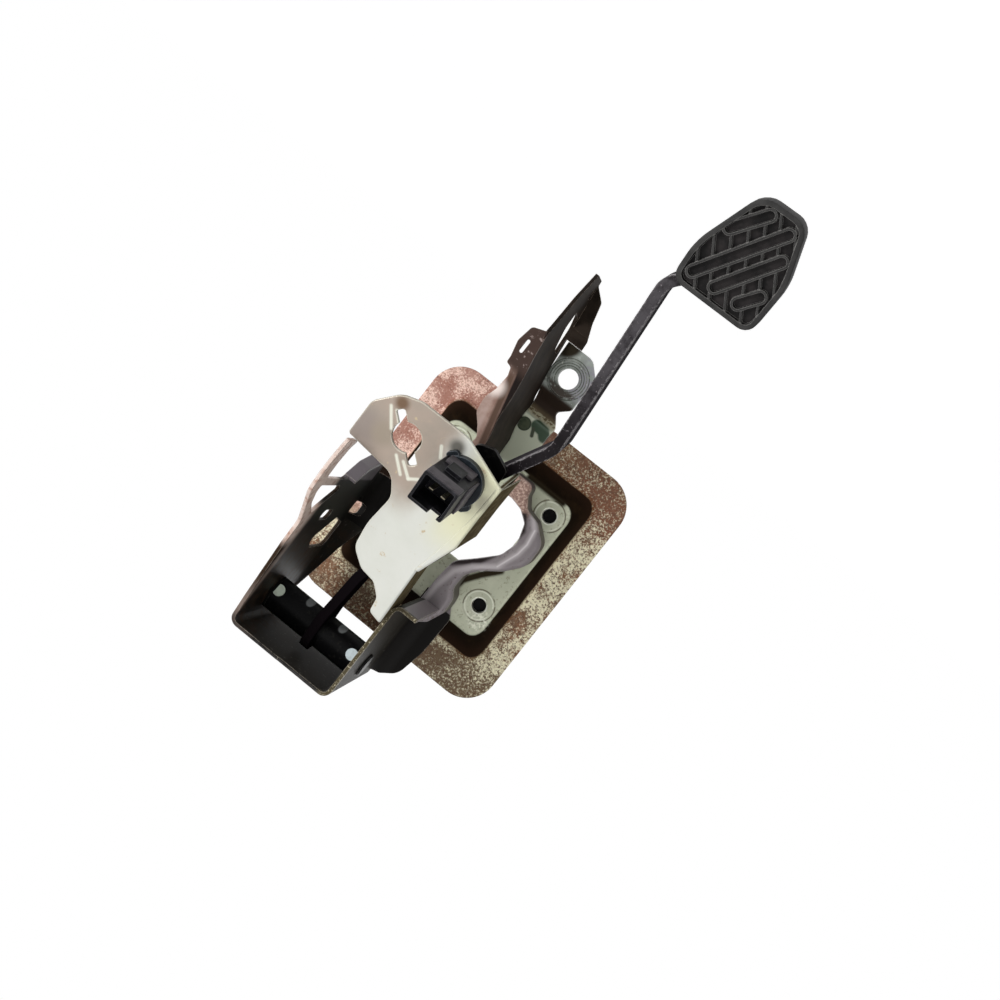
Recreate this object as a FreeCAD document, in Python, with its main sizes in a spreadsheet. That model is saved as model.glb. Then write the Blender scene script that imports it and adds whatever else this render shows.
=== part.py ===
import FreeCAD, Part
import math
import os
from types import SimpleNamespace
from FreeCAD import Placement, Rotation, Vector

# Brake pedal with its mounting bracket, hanging as in the car.
# Y = 0 is the bulkhead face, -Y points at the driver, +X is the driver's right and +Z is up.
# The origin lies on that face, in the middle of the four stud holes.

# Driving dimensions in millimetres, angles in degrees
SIZES = {
    "plate_half_width": 77.0, "plate_top": 96.0, "plate_bottom": 80.5, "plate_corner": 22.0,
    "plate_sheet": 2.0, "rim_side": 15.5, "rim_top": 20.5, "rim_bottom": 15.5,
    "slope_side": 11.5, "slope_top": 21.0, "slope_bottom": 17.0, "panel_height": 17.0,
    "slope_corner": 13.0, "stud_inset": 11.5, "stud_top_inset": 18.0, "stud_hole_radius": 4.7,
    "collar_radius": 7.5, "opening_left": 32.0, "opening_right": 45.0, "opening_top": 22.0,
    "opening_bottom": 32.0, "opening_corner": 16.0, "lobe_right": 57.0, "lobe_top": 5.0,
    "wall_left": 8.8, "wall_right": 65.0, "web_rise": 19.5, "bracket_rear": 120.0,
    "bracket_sheet": 2.2, "channel_bend": 3.6, "foot_bend": 12.0, "lip_reach": 13.6,
    "lip_height": 50.2, "rail_reach": 54.0, "rail_width": 17.0, "edge_lip_reach": 8.0,
    "foot_top": 111.0, "near_foot_low": 46.0, "far_foot_low": 8.0, "sheet_gap": 0.1,
    "stay_height": 28.2, "stay_sheet": 2.2, "stay_edge": 3.0, "stay_end": -7.1,
    "pivot_depth": 72.0, "pivot_height": 101.0, "pin_radius": 6.0, "pin_hole_play": 0.15,
    "pin_head_radius": 9.5, "pin_head_length": 4.5, "pin_rivet_radius": 8.0,
    "pin_rivet_length": 1.8, "bush_play": 0.05, "bush_wall": 2.0, "bush_sleeve": 18.0,
    "bush_flange": 1.5, "bush_end_play": 0.1, "nub_radius": 3.8,
    "left_nub_inset": 4.4, "left_nub_angle": 13.0, "right_nub_inset": 2.4,
    "right_nub_angle": 25.0, "hub_radius": 11.2,
    "lever_tilt": 20.0, "arm_thickness": 6.0, "arm_rear": 13.6, "arm_head": 14.5,
    "arm_width": 27.0, "arm_tip_width": 17.0, "arm_hub_x": 27.0, "arm_clevis_x": 3.0,
    "arm_low_x": -26.5, "clevis_drop": 107.0, "clevis_radius": 5.0,
    "switch_x": 3.0, "switch_drop": 155.8, "spare_hole_x": 40.5, "switch_plate_face": 38.6,
    "switch_plate_sheet": 2.0, "switch_plate_edge": 1.5, "switch_flange_depth": 30.0,
    "switch_hole_radius": 9.0, "notch_half_width": 2.8, "notch_reach": 16.0,
    "notch_angle": 46.0, "tab_sheet": 3.0, "bumper_radius": 6.5,
    "bumper_head": 3.0, "bumper_stem_radius": 3.0, "plunger_gap": 0.3, "plunger_radius": 2.5,
    "plunger_play": 0.08, "plunger_length": 18.0, "plunger_bore": 26.0,
    "holder_radius": 14.5, "holder_flange": 4.0, "holder_ear_width": 3.6,
    "holder_ear_reach": 17.2, "holder_barrel": 8.4, "holder_back": 10.6,
    "switch_core_radius": 6.0, "socket_half_width": 11.2, "socket_half_height": 9.6,
    "socket_offset": 1.7, "socket_base": 8.0, "socket_length": 32.4, "socket_wall": 1.6, "socket_depth": 20.0,
    "blade_length": 14.0, "blade_width": 2.8, "blade_sheet": 0.8, "blade_spacing": 8.0,
    "pad_x": -47.9, "pad_drop": 342.6, "pad_half_width": 25.8, "pad_half_height": 31.5,
    "pad_low_half_width": 14.5, "pad_thickness": 9.0, "pad_plate_sheet": 3.0,
    "pad_plate_inset": 2.5, "pad_groove": 1.6, "pad_groove_half": 2.2,
    "inner_rear": 109.2, "inner_front": 19.0, "inner_sheet": 2.2,
    "ear_x": 5.8, "ear_drop": 112.5, "ear_low": 131.5, "ear_hole_radius": 6.7, "ear_sheet": 3.0,
    "ear_collar_radius": 12.0, "ear_collar_height": 1.6, "ear_depth": 16.5,
}


def make_sheet(doc):
    """Put every driving dimension in the sheet, one alias a row, and read them back."""
    sheet = doc.addObject("Spreadsheet::Sheet", "Sizes")
    for row, (alias, value) in enumerate(SIZES.items(), start=1):
        sheet.set(f"A{row}", alias.replace("_", " "))
        sheet.set(f"B{row}", str(value))
        sheet.setAlias(f"B{row}", alias)
    doc.recompute()
    sizes = SimpleNamespace(**{alias: float(sheet.get(alias)) for alias in SIZES})
    sizes.web_top = sizes.pivot_height + sizes.web_rise
    return sizes


def rounded(corners):
    """Closed outline through corners (u, v) or (u, v, radius): lines joined by tangent arcs."""
    starts, ends, arcs = [], [], []
    count = len(corners)
    for i, corner in enumerate(corners):
        here = Vector(corner[0], corner[1], 0)
        radius = corner[2] if len(corner) > 2 else 0
        back = Vector(*corners[i - 1][:2], 0) - here
        ahead = Vector(*corners[(i + 1) % count][:2], 0) - here
        half = back.getAngle(ahead) / 2
        if radius == 0 or math.pi / 2 - half < 1e-4:
            starts.append(here)
            ends.append(here)
            arcs.append(None)
            continue
        reach = radius / math.tan(half)
        middle_way = (back.normalize() + ahead.normalize()).normalize()
        centre = here + middle_way * (radius / math.sin(half))
        starts.append(here + back * reach)
        ends.append(here + ahead * reach)
        arcs.append(Part.Arc(starts[-1], centre - middle_way * radius, ends[-1]))
    edges = []
    for i in range(count):
        if arcs[i]:
            edges.append(arcs[i])
        following = starts[(i + 1) % count]
        if ends[i].distanceToPoint(following) < 1e-6:
            continue
        side = Vector(*corners[(i + 1) % count][:2], 0) - Vector(*corners[i][:2], 0)
        if side.dot(following - ends[i]) < 0:
            raise ValueError(f"the arcs meet before corner {i + 1} of {corners}")
        edges.append(Part.LineSegment(ends[i], following))
    return edges


def shifted(path, shift):
    """The path (u, v, radius) moved sideways, to its left where shift is positive."""
    points = [Vector(p[0], p[1], 0) for p in path]
    ways = [(b - a).normalize() for a, b in zip(points, points[1:])]
    sides = [Vector(-way.y, way.x, 0) for way in ways]
    moved = []
    for i, point in enumerate(points):
        before, after = sides[max(i - 1, 0)], sides[min(i, len(sides) - 1)]
        offset = (before + after) * (shift / (1 + before.dot(after)))
        radius = path[i][2] if len(path[i]) > 2 else 0
        if radius:
            turn = ways[i - 1].cross(ways[i]).z
            radius -= math.copysign(shift, turn)
        moved.append((point.x + offset.x, point.y + offset.y, radius))
    return moved


def strip(path, thickness):
    """Corners of a strip of even thickness along a path."""
    return shifted(path, thickness / 2) + shifted(path, -thickness / 2)[::-1]


def box_corners(left, right, low, high, radius=0):
    return [(left, low, radius), (right, low, radius), (right, high, radius), (left, high, radius)]


def circle(u, v, radius):
    return [Part.Circle(Vector(u, v, 0), Vector(0, 0, 1), radius)]


def add_sketch(body, plane, edges, lift):
    """Sketch on one of the body's own planes, raised by a number or by an expression."""
    sketch = body.newObject("Sketcher::SketchObject", "Outline")
    support = next(item for item in body.Origin.OriginFeatures if item.Role == plane)
    sketch.AttachmentSupport = [(support, "")]
    sketch.MapMode = "FlatFace"
    sketch.addGeometry(edges, False)
    bind(sketch, "AttachmentOffset.Base.z", lift)
    return sketch


def bind(item, name, value):
    """Bind a property to the sheet. A plain number is bound as it is."""
    item.setExpression(name, value if isinstance(value, str) else repr(float(value)))


def add_pad(body, plane, edges, lift, length):
    pad = body.newObject("PartDesign::Pad", "Pad")
    pad.Profile = add_sketch(body, plane, edges, lift)
    bind(pad, "Length", length)
    return pad


def add_pocket(body, plane, edges, lift, length):
    """Cut from the sketch against its normal."""
    pocket = body.newObject("PartDesign::Pocket", "Pocket")
    pocket.Profile = add_sketch(body, plane, edges, lift)
    bind(pocket, "Length", length)
    return pocket


def new_body(doc, label, lever=False):
    """A body, either in the frame of the part or in the tilted frame of the lever."""
    body = doc.addObject("PartDesign::Body", label)
    body.Label = label
    if lever:
        place_on_lever(body)
    return body


def place_on_lever(item):
    """The lever's frame: origin on the pivot, -Y square to the lever's rear edge."""
    item.Placement = Placement(Vector(0, 0, 0), Rotation(Vector(1, 0, 0), -1))
    bind(item, "Placement.Base.y", "-Sizes.pivot_depth")
    bind(item, "Placement.Base.z", "Sizes.pivot_height")
    bind(item, "Placement.Rotation.Angle", "-Sizes.lever_tilt")


def prism(doc, label, plane, edges, lift, length, lever=False):
    body = new_body(doc, label, lever)
    add_pad(body, plane, edges, lift, length)
    return body


def boolean(doc, kind, label, base, tool):
    item = doc.addObject(kind, label)
    item.Label = label
    item.Base = base
    item.Tool = tool
    item.Refine = True
    return item


def joined(doc, label, pieces):
    item = doc.addObject("Part::MultiFuse", label)
    item.Label = label
    item.Shapes = pieces
    item.Refine = True
    return item


def edge_names(shape, chosen):
    """Names of the edges whose middle point passes the test."""
    names = []
    for number, edge in enumerate(shape.Edges, start=1):
        middle = edge.valueAt((edge.FirstParameter + edge.LastParameter) / 2)
        if chosen(middle, edge):
            names.append(f"Edge{number}")
    return names


def round_edges(doc, body, radius, chosen):
    doc.recompute()
    base = body.Tip
    names = edge_names(base.Shape, chosen)
    fillet = body.newObject("PartDesign::Fillet", "Fillet")
    fillet.Base = (base, names)
    bind(fillet, "Radius", radius)
    return fillet


# Dash plate and its stud collars

def plate_outline(s, side, top, bottom, corner=0):
    """Rectangle set in from the plate's edge by the three given widths."""
    half = s.plate_half_width - side
    return rounded(box_corners(-half, half, bottom - s.plate_bottom, s.plate_top - top, corner))


def hat(doc, s, label, inset, height):
    """Block with sloped sides and rounded upright edges, inside the foot line by the inset."""
    body = new_body(doc, label)
    loft = body.newObject("PartDesign::AdditiveLoft", "Loft")
    foot = [width + inset for width in (s.rim_side, s.rim_top, s.rim_bottom)]
    panel = [foot[0] + s.slope_side, foot[1] + s.slope_top, foot[2] + s.slope_bottom]
    loft.Profile = add_sketch(body, "XZ_Plane", plate_outline(s, *foot), 0)
    loft.Sections = [add_sketch(body, "XZ_Plane", plate_outline(s, *panel), height)]
    loft.Ruled = True
    slanted = lambda middle, edge: abs(edge.tangentAt(edge.FirstParameter).y) > 0.3
    round_edges(doc, body, s.slope_corner - inset, slanted)
    return body


def opening_outline(s):
    """Opening with a lobe in its lower right corner."""
    left, right, top, low = -s.opening_left, s.opening_right, s.opening_top, -s.opening_bottom
    corner = s.opening_corner
    return [(left, low, corner), (s.lobe_right, low, corner / 2), (s.lobe_right, s.lobe_top, corner / 3),
            (right, s.lobe_top, 3), (right, top, corner / 2), (left, top, corner)]


def dash_plate(doc, s):
    """Top hat stamping: flat rim on the bulkhead, sloped sides and a raised panel."""
    rim = prism(doc, "plate_rim", "XZ_Plane", plate_outline(s, 0, 0, 0, s.plate_corner), 0,
                "Sizes.plate_sheet")
    outside = hat(doc, s, "plate_outside", 0, "Sizes.panel_height")
    inside = hat(doc, s, "plate_inside", s.plate_sheet, "Sizes.panel_height - Sizes.plate_sheet")
    through = "Sizes.panel_height + 1"
    cuts = [inside, prism(doc, "opening_cut", "XZ_Plane", rounded(opening_outline(s)), 0, through)]
    for x, z in stud_places(s):
        cuts.append(prism(doc, "stud_cut", "XZ_Plane", circle(x, z, s.stud_hole_radius), 0, through))
    blank = joined(doc, "plate_blank", [rim, outside])
    return [boolean(doc, "Part::Cut", "dash_plate", blank, joined(doc, "plate_cuts", cuts))]


def stud_places(s):
    """Centres of the studs, set in from the corners of the raised panel."""
    half = s.plate_half_width - s.rim_side - s.slope_side - s.stud_inset
    low = s.rim_bottom + s.slope_bottom + s.stud_inset - s.plate_bottom
    high = s.plate_top - s.rim_top - s.slope_top - s.stud_top_inset
    return [(x, z) for x in (-half, half) for z in (low, high)]


def stud_collars(doc, s):
    """Tube round each stud, from the bulkhead to the back of the panel."""
    collars = []
    for number, (x, z) in enumerate(stud_places(s), start=1):
        body = new_body(doc, f"stud_collar_{number}")
        length = "Sizes.panel_height - Sizes.plate_sheet"
        ring = circle(x, z, s.collar_radius) + circle(x, z, s.stud_hole_radius)
        add_pad(body, "XZ_Plane", ring, 0, length)
        collars.append(body)
    return collars


# Pedal bracket: a channel of sheet with its web above the pivot

def on_lever(s, y, z):
    """Point of the lever's frame as (y, z) of the part's frame."""
    turn = math.radians(s.lever_tilt)
    return (y * math.cos(turn) + z * math.sin(turn) - s.pivot_depth,
            z * math.cos(turn) - y * math.sin(turn) + s.pivot_height)


def rail_end(s):
    """Low end of the rail, where the upper edge of the switch plate meets it, as (y, z)."""
    return on_lever(s, -s.switch_plate_face, 20.5 - s.switch_drop)


def on_wall(s, corners):
    """Corners (y, share) with each share of the way from the rail's end to the web as a height."""
    low = rail_end(s)[1]
    span = s.web_top + 1 - low
    return [(corner[0], low + corner[1] * span, *corner[2:]) for corner in corners]


def far_wall_outline(s):
    """Side view of the wall on the driver's right: rail, gap and main sheet, as (y, z)."""
    bend = -bend_depth(s)
    rear = -s.bracket_rear
    rail = rear - s.rail_reach
    inside = rail + s.rail_width
    seat = rail_end(s)[0]
    edge = [(rear, 1), (rear - 8, 0.84, 25), (rear - 14, 0.676, 25), (rear - 19, 0.543, 15),
            (rear - 20, 0.431, 8), (rear - 33, 0.357, 10), (rail + 3, 0.26, 12), (rail, 0.156, 14),
            (rail + 1, 0.074, 10), (rail + 4, 0, 2), (seat + 5, 0, 1), (inside + 1, 0.037, 10),
            (inside - 1, 0.119, 10), (inside, 0.197, 3), (rear + 7, 0.2, 8),
            (rear + 22, 0.116, 10), (rear + 45, 0.068, 10), (rear + 80, 0.083, 8), (bend, 0.156)]
    foot_end = [(bend, s.foot_top), (-s.panel_height, s.foot_top)]
    return [(-s.panel_height, s.web_top + 1)] + on_wall(s, edge) + foot_end


def edge_lip_path(s):
    """Middle line of the lip turned in along the far wall's lower edge, as (y, z)."""
    rear = -s.bracket_rear
    return on_wall(s, [(rear + 10.5, 0.186), (rear + 22, 0.116, 10), (rear + 45, 0.068, 10),
                       (rear + 78, 0.083)])


def near_wall_outline(s):
    """Side view of the wall on the driver's left, as (y, z)."""
    bend = -bend_depth(s)
    low = s.lip_height - 1
    stay_top = -(s.panel_height + s.stay_height)
    above_lip = low + 9
    return [(-s.panel_height, s.web_top + 1), (-s.bracket_rear, s.web_top + 1),
            (-s.bracket_rear, low), (stay_top, low), (stay_top, above_lip), (bend, above_lip),
            (bend, s.foot_top), (-s.panel_height, s.foot_top)]


def bend_depth(s):
    """Distance from the bulkhead at which the walls begin to curve into their feet."""
    return s.panel_height + s.foot_bend + s.bracket_sheet


def channel_outline(s):
    """Plan of both walls and the web, with the lip turned out at the near wall's end."""
    sheet, inner = s.bracket_sheet, s.channel_bend
    outer = inner + sheet
    left, right, top = -s.wall_left, s.wall_right, s.web_top
    lip = s.lip_height
    low = -60.0
    return [(right, low), (right, top, outer), (left, top, outer), (left, lip + sheet, inner),
            (left - s.lip_reach, lip + sheet), (left - s.lip_reach, lip),
            (left + sheet, lip, outer), (left + sheet, top - sheet, inner),
            (right - sheet, top - sheet, inner), (right - sheet, low)]


def foot(doc, s, label, wall, side, outline, low):
    """Wall's foot: a wide bend and a flange on the panel, trimmed to its plan outline."""
    sheet = s.bracket_sheet
    face = -s.panel_height
    reach = wall + side * (s.foot_bend + 24)
    inner_wall = wall - side * sheet
    section = [(inner_wall, -bend_depth(s)), (inner_wall, face, s.foot_bend + sheet),
               (reach, face), (reach, face - sheet), (wall, face - sheet, s.foot_bend),
               (wall, -bend_depth(s))]
    span = s.foot_top - low
    bent = prism(doc, label + "_bent", "XY_Plane", rounded(section), low, span)
    plan = prism(doc, label + "_plan", "XZ_Plane", rounded(outline), 0, bend_depth(s) + 1)
    return boolean(doc, "Part::Common", label, bent, plan)


def near_foot_outline(s):
    left = -s.wall_left
    top = s.foot_top
    low = s.near_foot_low
    return [(left + s.bracket_sheet + 1, top), (left - 6, top, 4), (left - 16, top - 7, 12),
            (left - 20, top - 28, 20), (left - 21, low + 10, 8), (left - 15, low, 3),
            (left + s.bracket_sheet + 1, low)]


def far_foot_outline(s):
    right = s.wall_right
    top = s.foot_top
    low = s.far_foot_low
    return [(right + 1, top), (right - 2.6, top), (right - 2.6, top - 8, 5),
            (right - 9, top - 46, 20), (right - 15.5, top - 70, 16), (right - 15.5, low),
            (right + 1, low)]


def bracket_cuts(doc, s):
    """Tools for the holes of both walls, each pushed through in X."""
    inside = s.wall_right - 20
    rear = -s.bracket_rear
    rail = rear - s.rail_reach + s.rail_width
    gap = [(rail + 1, 0.234, 1.5), (rail + 1, 0.267, 4), (rail + 9, 0.327, 6),
           (rear - 11, 0.383, 2.5), (rear + 2, 0.312, 6), (rear + 13, 0.26, 1.5),
           (rear + 8, 0.234, 2)]
    window = [(rear + 39, 0.539, 4), (rear + 65, 0.42, 6), (rear + 88, 0.453, 4),
              (rear + 88, 0.595, 5), (rear + 52, 0.595, 6)]
    oval = box_corners(rear + 19, rear + 40, 0.371, 0.428, 3.7)
    relief = box_corners(rear + 86, rear + 99, 0.327, 0.397, 2.5)
    cuts = [prism(doc, "wall_cut", "YZ_Plane", rounded(on_wall(s, outline)), inside, 40)
            for outline in (gap, window, oval, relief)]
    hole = circle(-s.pivot_depth, s.pivot_height, s.pin_radius + s.pin_hole_play)
    cuts.append(prism(doc, "pivot_cut", "YZ_Plane", hole, -s.wall_left - 10, 110))
    return joined(doc, "bracket_cuts", cuts)


def pedal_bracket(doc, s):
    split = (s.wall_right - s.wall_left) / 2
    channel = prism(doc, "channel_plan", "XZ_Plane", rounded(channel_outline(s)),
                    "Sizes.panel_height", s.bracket_rear + s.rail_reach)
    near = prism(doc, "near_side", "YZ_Plane", rounded(near_wall_outline(s)), -60, 60 + split)
    far = prism(doc, "far_side", "YZ_Plane", rounded(far_wall_outline(s)), split, 60)
    sides = joined(doc, "both_sides", [near, far])
    shell = boolean(doc, "Part::Common", "channel", channel, sides)
    near_foot = foot(doc, s, "near_foot", -s.wall_left, -1, near_foot_outline(s),
                     s.near_foot_low)
    far_foot = foot(doc, s, "far_foot", s.wall_right - s.bracket_sheet, -1,
                    far_foot_outline(s), s.far_foot_low)
    lip = prism(doc, "edge_lip", "YZ_Plane", rounded(strip(edge_lip_path(s), s.bracket_sheet)),
                "Sizes.wall_right - Sizes.edge_lip_reach", "Sizes.edge_lip_reach")
    whole = joined(doc, "bracket_blank", [shell, near_foot, far_foot, lip])
    return [boolean(doc, "Part::Cut", "pedal_bracket", whole, bracket_cuts(doc, s))]


# Side stay: the rim that curls round the opening

def stay_outline(s):
    near = -s.wall_left
    end = s.stay_end
    outer = [(near - 6, 66), (near - 12, 61.5, 5), (near - 17, 50, 9), (near - 16, 40, 7),
             (near - 12, 34, 6), (near - 12, 24, 9), (-27, 15.5, 12), (-39, 6.5, 12),
             (-48.5, -5, 14), (-48, -21, 9), (-37, -30.5, 5), (-27, -33, 5), (-22, -40, 6),
             (-21, -47, 4.5), (end, -47)]
    inner = [(end, -32.5), (-15, -33, 8), (-23.5, -31, 6), (-31, -25.5, 5),
             (-35, -13, 12), (-31.5, -1, 12), (-20.5, 10.5, 14), (-10.5, 20, 10), (near, 36, 6),
             (near, 66)]
    return outer, inner


def side_stay(doc, s):
    """Wall round the opening with its top edge turned in as a broad flange."""
    outer, inner = stay_outline(s)
    body = new_body(doc, "side_stay")
    add_pad(body, "XZ_Plane", rounded(outer + inner), "Sizes.panel_height", "Sizes.stay_height")
    top = -(s.panel_height + s.stay_height)
    path = Part.Wire([edge.toShape() for edge in rounded(outer + inner)])
    rim = Part.Wire([e for e in path.Edges if on_outer(e, outer, inner)])
    rim.Placement = Placement(Vector(0, top, 0), Rotation(Vector(1, 0, 0), 90))
    on_rim = lambda middle, edge: rim.distToShape(Part.Vertex(middle))[0] < 1e-4
    round_edges(doc, body, "Sizes.stay_edge", on_rim)
    hollow = shifted([p if len(p) > 2 else (*p, 0) for p in outer], s.stay_sheet)
    tool = [(hollow[0][0], hollow[0][1] + 8, 0)] + hollow[1:-1]
    tool += [(s.stay_end + 5, hollow[-1][1], 0), (s.stay_end + 5, hollow[0][1] + 8, 0)]
    add_pocket(body, "XZ_Plane", rounded(tool),
               "Sizes.panel_height + Sizes.stay_height - Sizes.stay_sheet", "Sizes.stay_height")
    clear = box_corners(-60, -s.wall_left, s.near_foot_low - s.sheet_gap, 80)
    add_pocket(body, "XZ_Plane", rounded(clear), "Sizes.panel_height + Sizes.bracket_sheet",
               "Sizes.bracket_sheet")
    return [body]


def on_outer(edge, outer, inner):
    middle = edge.valueAt((edge.FirstParameter + edge.LastParameter) / 2)
    outer_line = Part.makePolygon([Vector(p[0], p[1], 0) for p in outer])
    inner_line = Part.makePolygon([Vector(p[0], p[1], 0) for p in inner])
    point = Part.Vertex(middle)
    return outer_line.distToShape(point)[0] < inner_line.distToShape(point)[0]


# Switch plate, in the lever's frame

def switch_bend_path(s):
    """The side where the flange turns down, from its low end to the near wall."""
    wall = -s.wall_left + s.bracket_sheet
    low = -s.switch_drop
    return [(-18.5, low - 10.5), (-16.5, low + 21.5), (wall, low + 60.5), (wall, low + 102.5)]


def switch_plate_outline(s):
    low = -s.switch_drop
    free_side = [(2, low + 100.5, 3), (3, low + 90.5, 6), (10, low + 83.5, 6), (20, low + 82, 8),
                 (30.5, low + 73.5, 10), (32, low + 56.5, 40), (29, low + 34.5, 10),
                 (36, low + 23, 10), (69.5, low + 19.5, 2), (68, low - 4.5, 8),
                 (56, low - 18.5, 14), (44, low - 22.5, 10), (12, low - 22.5, 16)]
    return switch_bend_path(s) + free_side


def slanted_box(s, x, half_width, reach, radius):
    """Rectangle about a switch axis, turned as the notches of the quarter turn holes are."""
    turn = math.radians(s.notch_angle)
    across, along = (math.cos(turn), math.sin(turn)), (-math.sin(turn), math.cos(turn))
    return rounded([(x + u * across[0] + v * along[0],
                     u * across[1] + v * along[1] - s.switch_drop, r)
                    for u, v, r in box_corners(-half_width, half_width, -reach, reach, radius)])


def bayonet_hole(s, x):
    """Round hole with a notch on two opposite sides, as two outlines."""
    return [circle(x, -s.switch_drop, s.switch_hole_radius),
            slanted_box(s, x, s.notch_half_width, s.notch_reach, 1.5)]


def switch_plate(doc, s):
    body = new_body(doc, "switch_plate", lever=True)
    face, sheet = "Sizes.switch_plate_face", "Sizes.switch_plate_sheet"
    outline = switch_plate_outline(s)
    add_pad(body, "XZ_Plane", rounded(outline), f"{face} - {sheet}", sheet)
    path = shifted(switch_bend_path(s), -s.switch_plate_sheet / 2)
    add_pad(body, "XZ_Plane", rounded(strip(path, s.switch_plate_sheet)),
            f"{face} - {sheet} - Sizes.switch_flange_depth", "Sizes.switch_flange_depth")
    bend = Part.makePolygon([Vector(p[0], -s.switch_plate_face, p[1]) for p in switch_bend_path(s)])
    near_bend = lambda middle, edge: bend.distToShape(Part.Vertex(middle))[0] < 2
    on_face = lambda middle, edge: abs(middle.y + s.switch_plate_face) < 1e-3
    on_bend = lambda middle, edge: near_bend(middle, edge) and on_face(middle, edge)
    round_edges(doc, body, "Sizes.switch_plate_edge", on_bend)
    for x in (s.switch_x, s.spare_hole_x):
        for edges in bayonet_hole(s, x):
            add_pocket(body, "XZ_Plane", edges, f"{face} + 1", f"{sheet} + 2")
    return [body]


# Inner stay and ear bracket, below the opening

def inner_path():
    return [(11.5, -44), (12.5, -59, 30), (15, -68, 30), (16, -83, 40), (18, -97, 40),
            (20.5, -110, 40), (22.5, -125, 40), (28.5, -175)]


def inner_stay(doc, s):
    """Upright sheet with a wavy rear flange, a turned front flange and cut-outs."""
    rear, front = -s.inner_rear, -s.inner_front
    rim = -s.plate_sheet
    step = s.inner_front - 3.4
    side = [(front, -46), (rear, -46), (rear, -123, 6), (rear + 10, -131, 10),
            (rear + 34, -153, 20), (rear + 64, -174, 3), (front, -174), (front, -136, 3),
            (-step, -133), (-step, -92), (rim, -s.plate_bottom), (rim, -s.plate_bottom + 14),
            (front, -60)]
    plan = prism(doc, "inner_plan", "XZ_Plane", rounded(strip(inner_path(), s.inner_sheet)), 0,
                 "Sizes.inner_rear")
    region = prism(doc, "inner_side", "YZ_Plane", rounded(side), 0, 60)
    wall = boolean(doc, "Part::Common", "inner_wall", plan, region)
    wavy = [(11.5, -46), (18.3, -46), (17.2, -53, 4), (21.4, -59.2, 5), (26.8, -65, 5),
            (28, -74, 8), (25.6, -82, 6), (24.9, -92, 4), (26.6, -97, 2), (30.4, -98, 1.5),
            (30.6, -102, 2), (33, -112, 6), (31, -123, 3), (22.6, -126), (20.5, -110), (18, -97),
            (16, -83), (15, -68), (12.5, -59)]
    rear_flange = prism(doc, "wavy_flange", "XZ_Plane", rounded(wavy),
                        "Sizes.inner_rear - Sizes.inner_sheet", "Sizes.inner_sheet")
    low = -s.ear_low - s.sheet_gap
    turned = [(28.4, -174), (26.5, -170, 3), (18.6, -163, 4), (15, -149, 10), (10.5, -138, 5),
              (10, low), (23.2, low)]
    front_flange = prism(doc, "front_flange", "XZ_Plane", rounded(turned), "Sizes.inner_front",
                         "Sizes.inner_sheet")
    blank = joined(doc, "inner_blank", [wall, rear_flange, front_flange])
    window = [(rear + 63, -147.5, 4), (rear + 81, -146.5, 4), (rear + 90, -138, 5),
              (rear + 84, -120, 4), (rear + 66, -121.5, 5), (rear + 56, -135.5, 6)]
    cuts = [prism(doc, "window_cut", "YZ_Plane", rounded(window), 0, 60),
            prism(doc, "tip_cut", "YZ_Plane", rounded(box_corners(-32.5, -28, -166, -159, 2.2)),
                  0, 60),
            prism(doc, "wave_cut", "XZ_Plane", rounded(box_corners(26.5, 28.9, -116, -107, 1.1)),
                  "Sizes.inner_rear - 8", 12)]
    return [boolean(doc, "Part::Cut", "inner_stay", blank, joined(doc, "inner_cuts", cuts))]


def ear_bracket(doc, s):
    """Joggled strap: a pad welded on the panel, a step over the rim and a holed ear."""
    half = s.ear_sheet / 2
    pad_y, ear_y = -s.panel_height - half, -s.ear_depth
    path = [(pad_y, -36), (pad_y, -78, 5), (-s.plate_sheet - 4, -88, 5), (ear_y, -99, 5),
            (ear_y, -140)]
    bent = prism(doc, "ear_bent", "YZ_Plane", rounded(strip(path, s.ear_sheet)), -20, 60)
    wall = shifted(inner_path(), -s.inner_sheet / 2 - s.sheet_gap)
    beside = [(u, v) for u, v, _ in wall]
    low = -s.ear_low
    plan = [(beside[0][0], -36), (-7, -36), (-7, -82, 3), (0, -91, 3), (s.ear_x - 14, -98, 4),
            (s.ear_x - 14, low + 9, 9), (s.ear_x - 5, low, 7), (beside[6][0] - 1, low), beside[5],
            beside[4], beside[3], beside[2], beside[1]]
    region = prism(doc, "ear_plan", "XZ_Plane", rounded(plan), 0, 60)
    strap = boolean(doc, "Part::Common", "ear_strap", bent, region)
    collar = prism(doc, "ear_collar", "XZ_Plane",
                   circle(s.ear_x, -s.ear_drop, s.ear_collar_radius),
                   "Sizes.ear_depth", "Sizes.ear_sheet / 2 + Sizes.ear_collar_height")
    hole = prism(doc, "ear_hole", "XZ_Plane", circle(s.ear_x, -s.ear_drop, s.ear_hole_radius), 0, 60)
    return [boolean(doc, "Part::Cut", "ear_bracket", joined(doc, "ear_blank", [strap, collar]), hole)]


# Pivot: pin, hub tube and two flanged bushes

def turned_piece(doc, label, profile):
    """Solid of revolution about the pivot axis from a half profile (x, radius)."""
    body = new_body(doc, label)
    bind(body, "Placement.Base.y", "-Sizes.pivot_depth")
    bind(body, "Placement.Base.z", "Sizes.pivot_height")
    sketch = add_sketch(body, "XY_Plane", rounded(profile), 0)
    revolution = body.newObject("PartDesign::Revolution", "Revolution")
    revolution.Profile = sketch
    revolution.ReferenceAxis = (sketch, ["H_Axis"])
    revolution.Angle = 360
    return body


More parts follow.
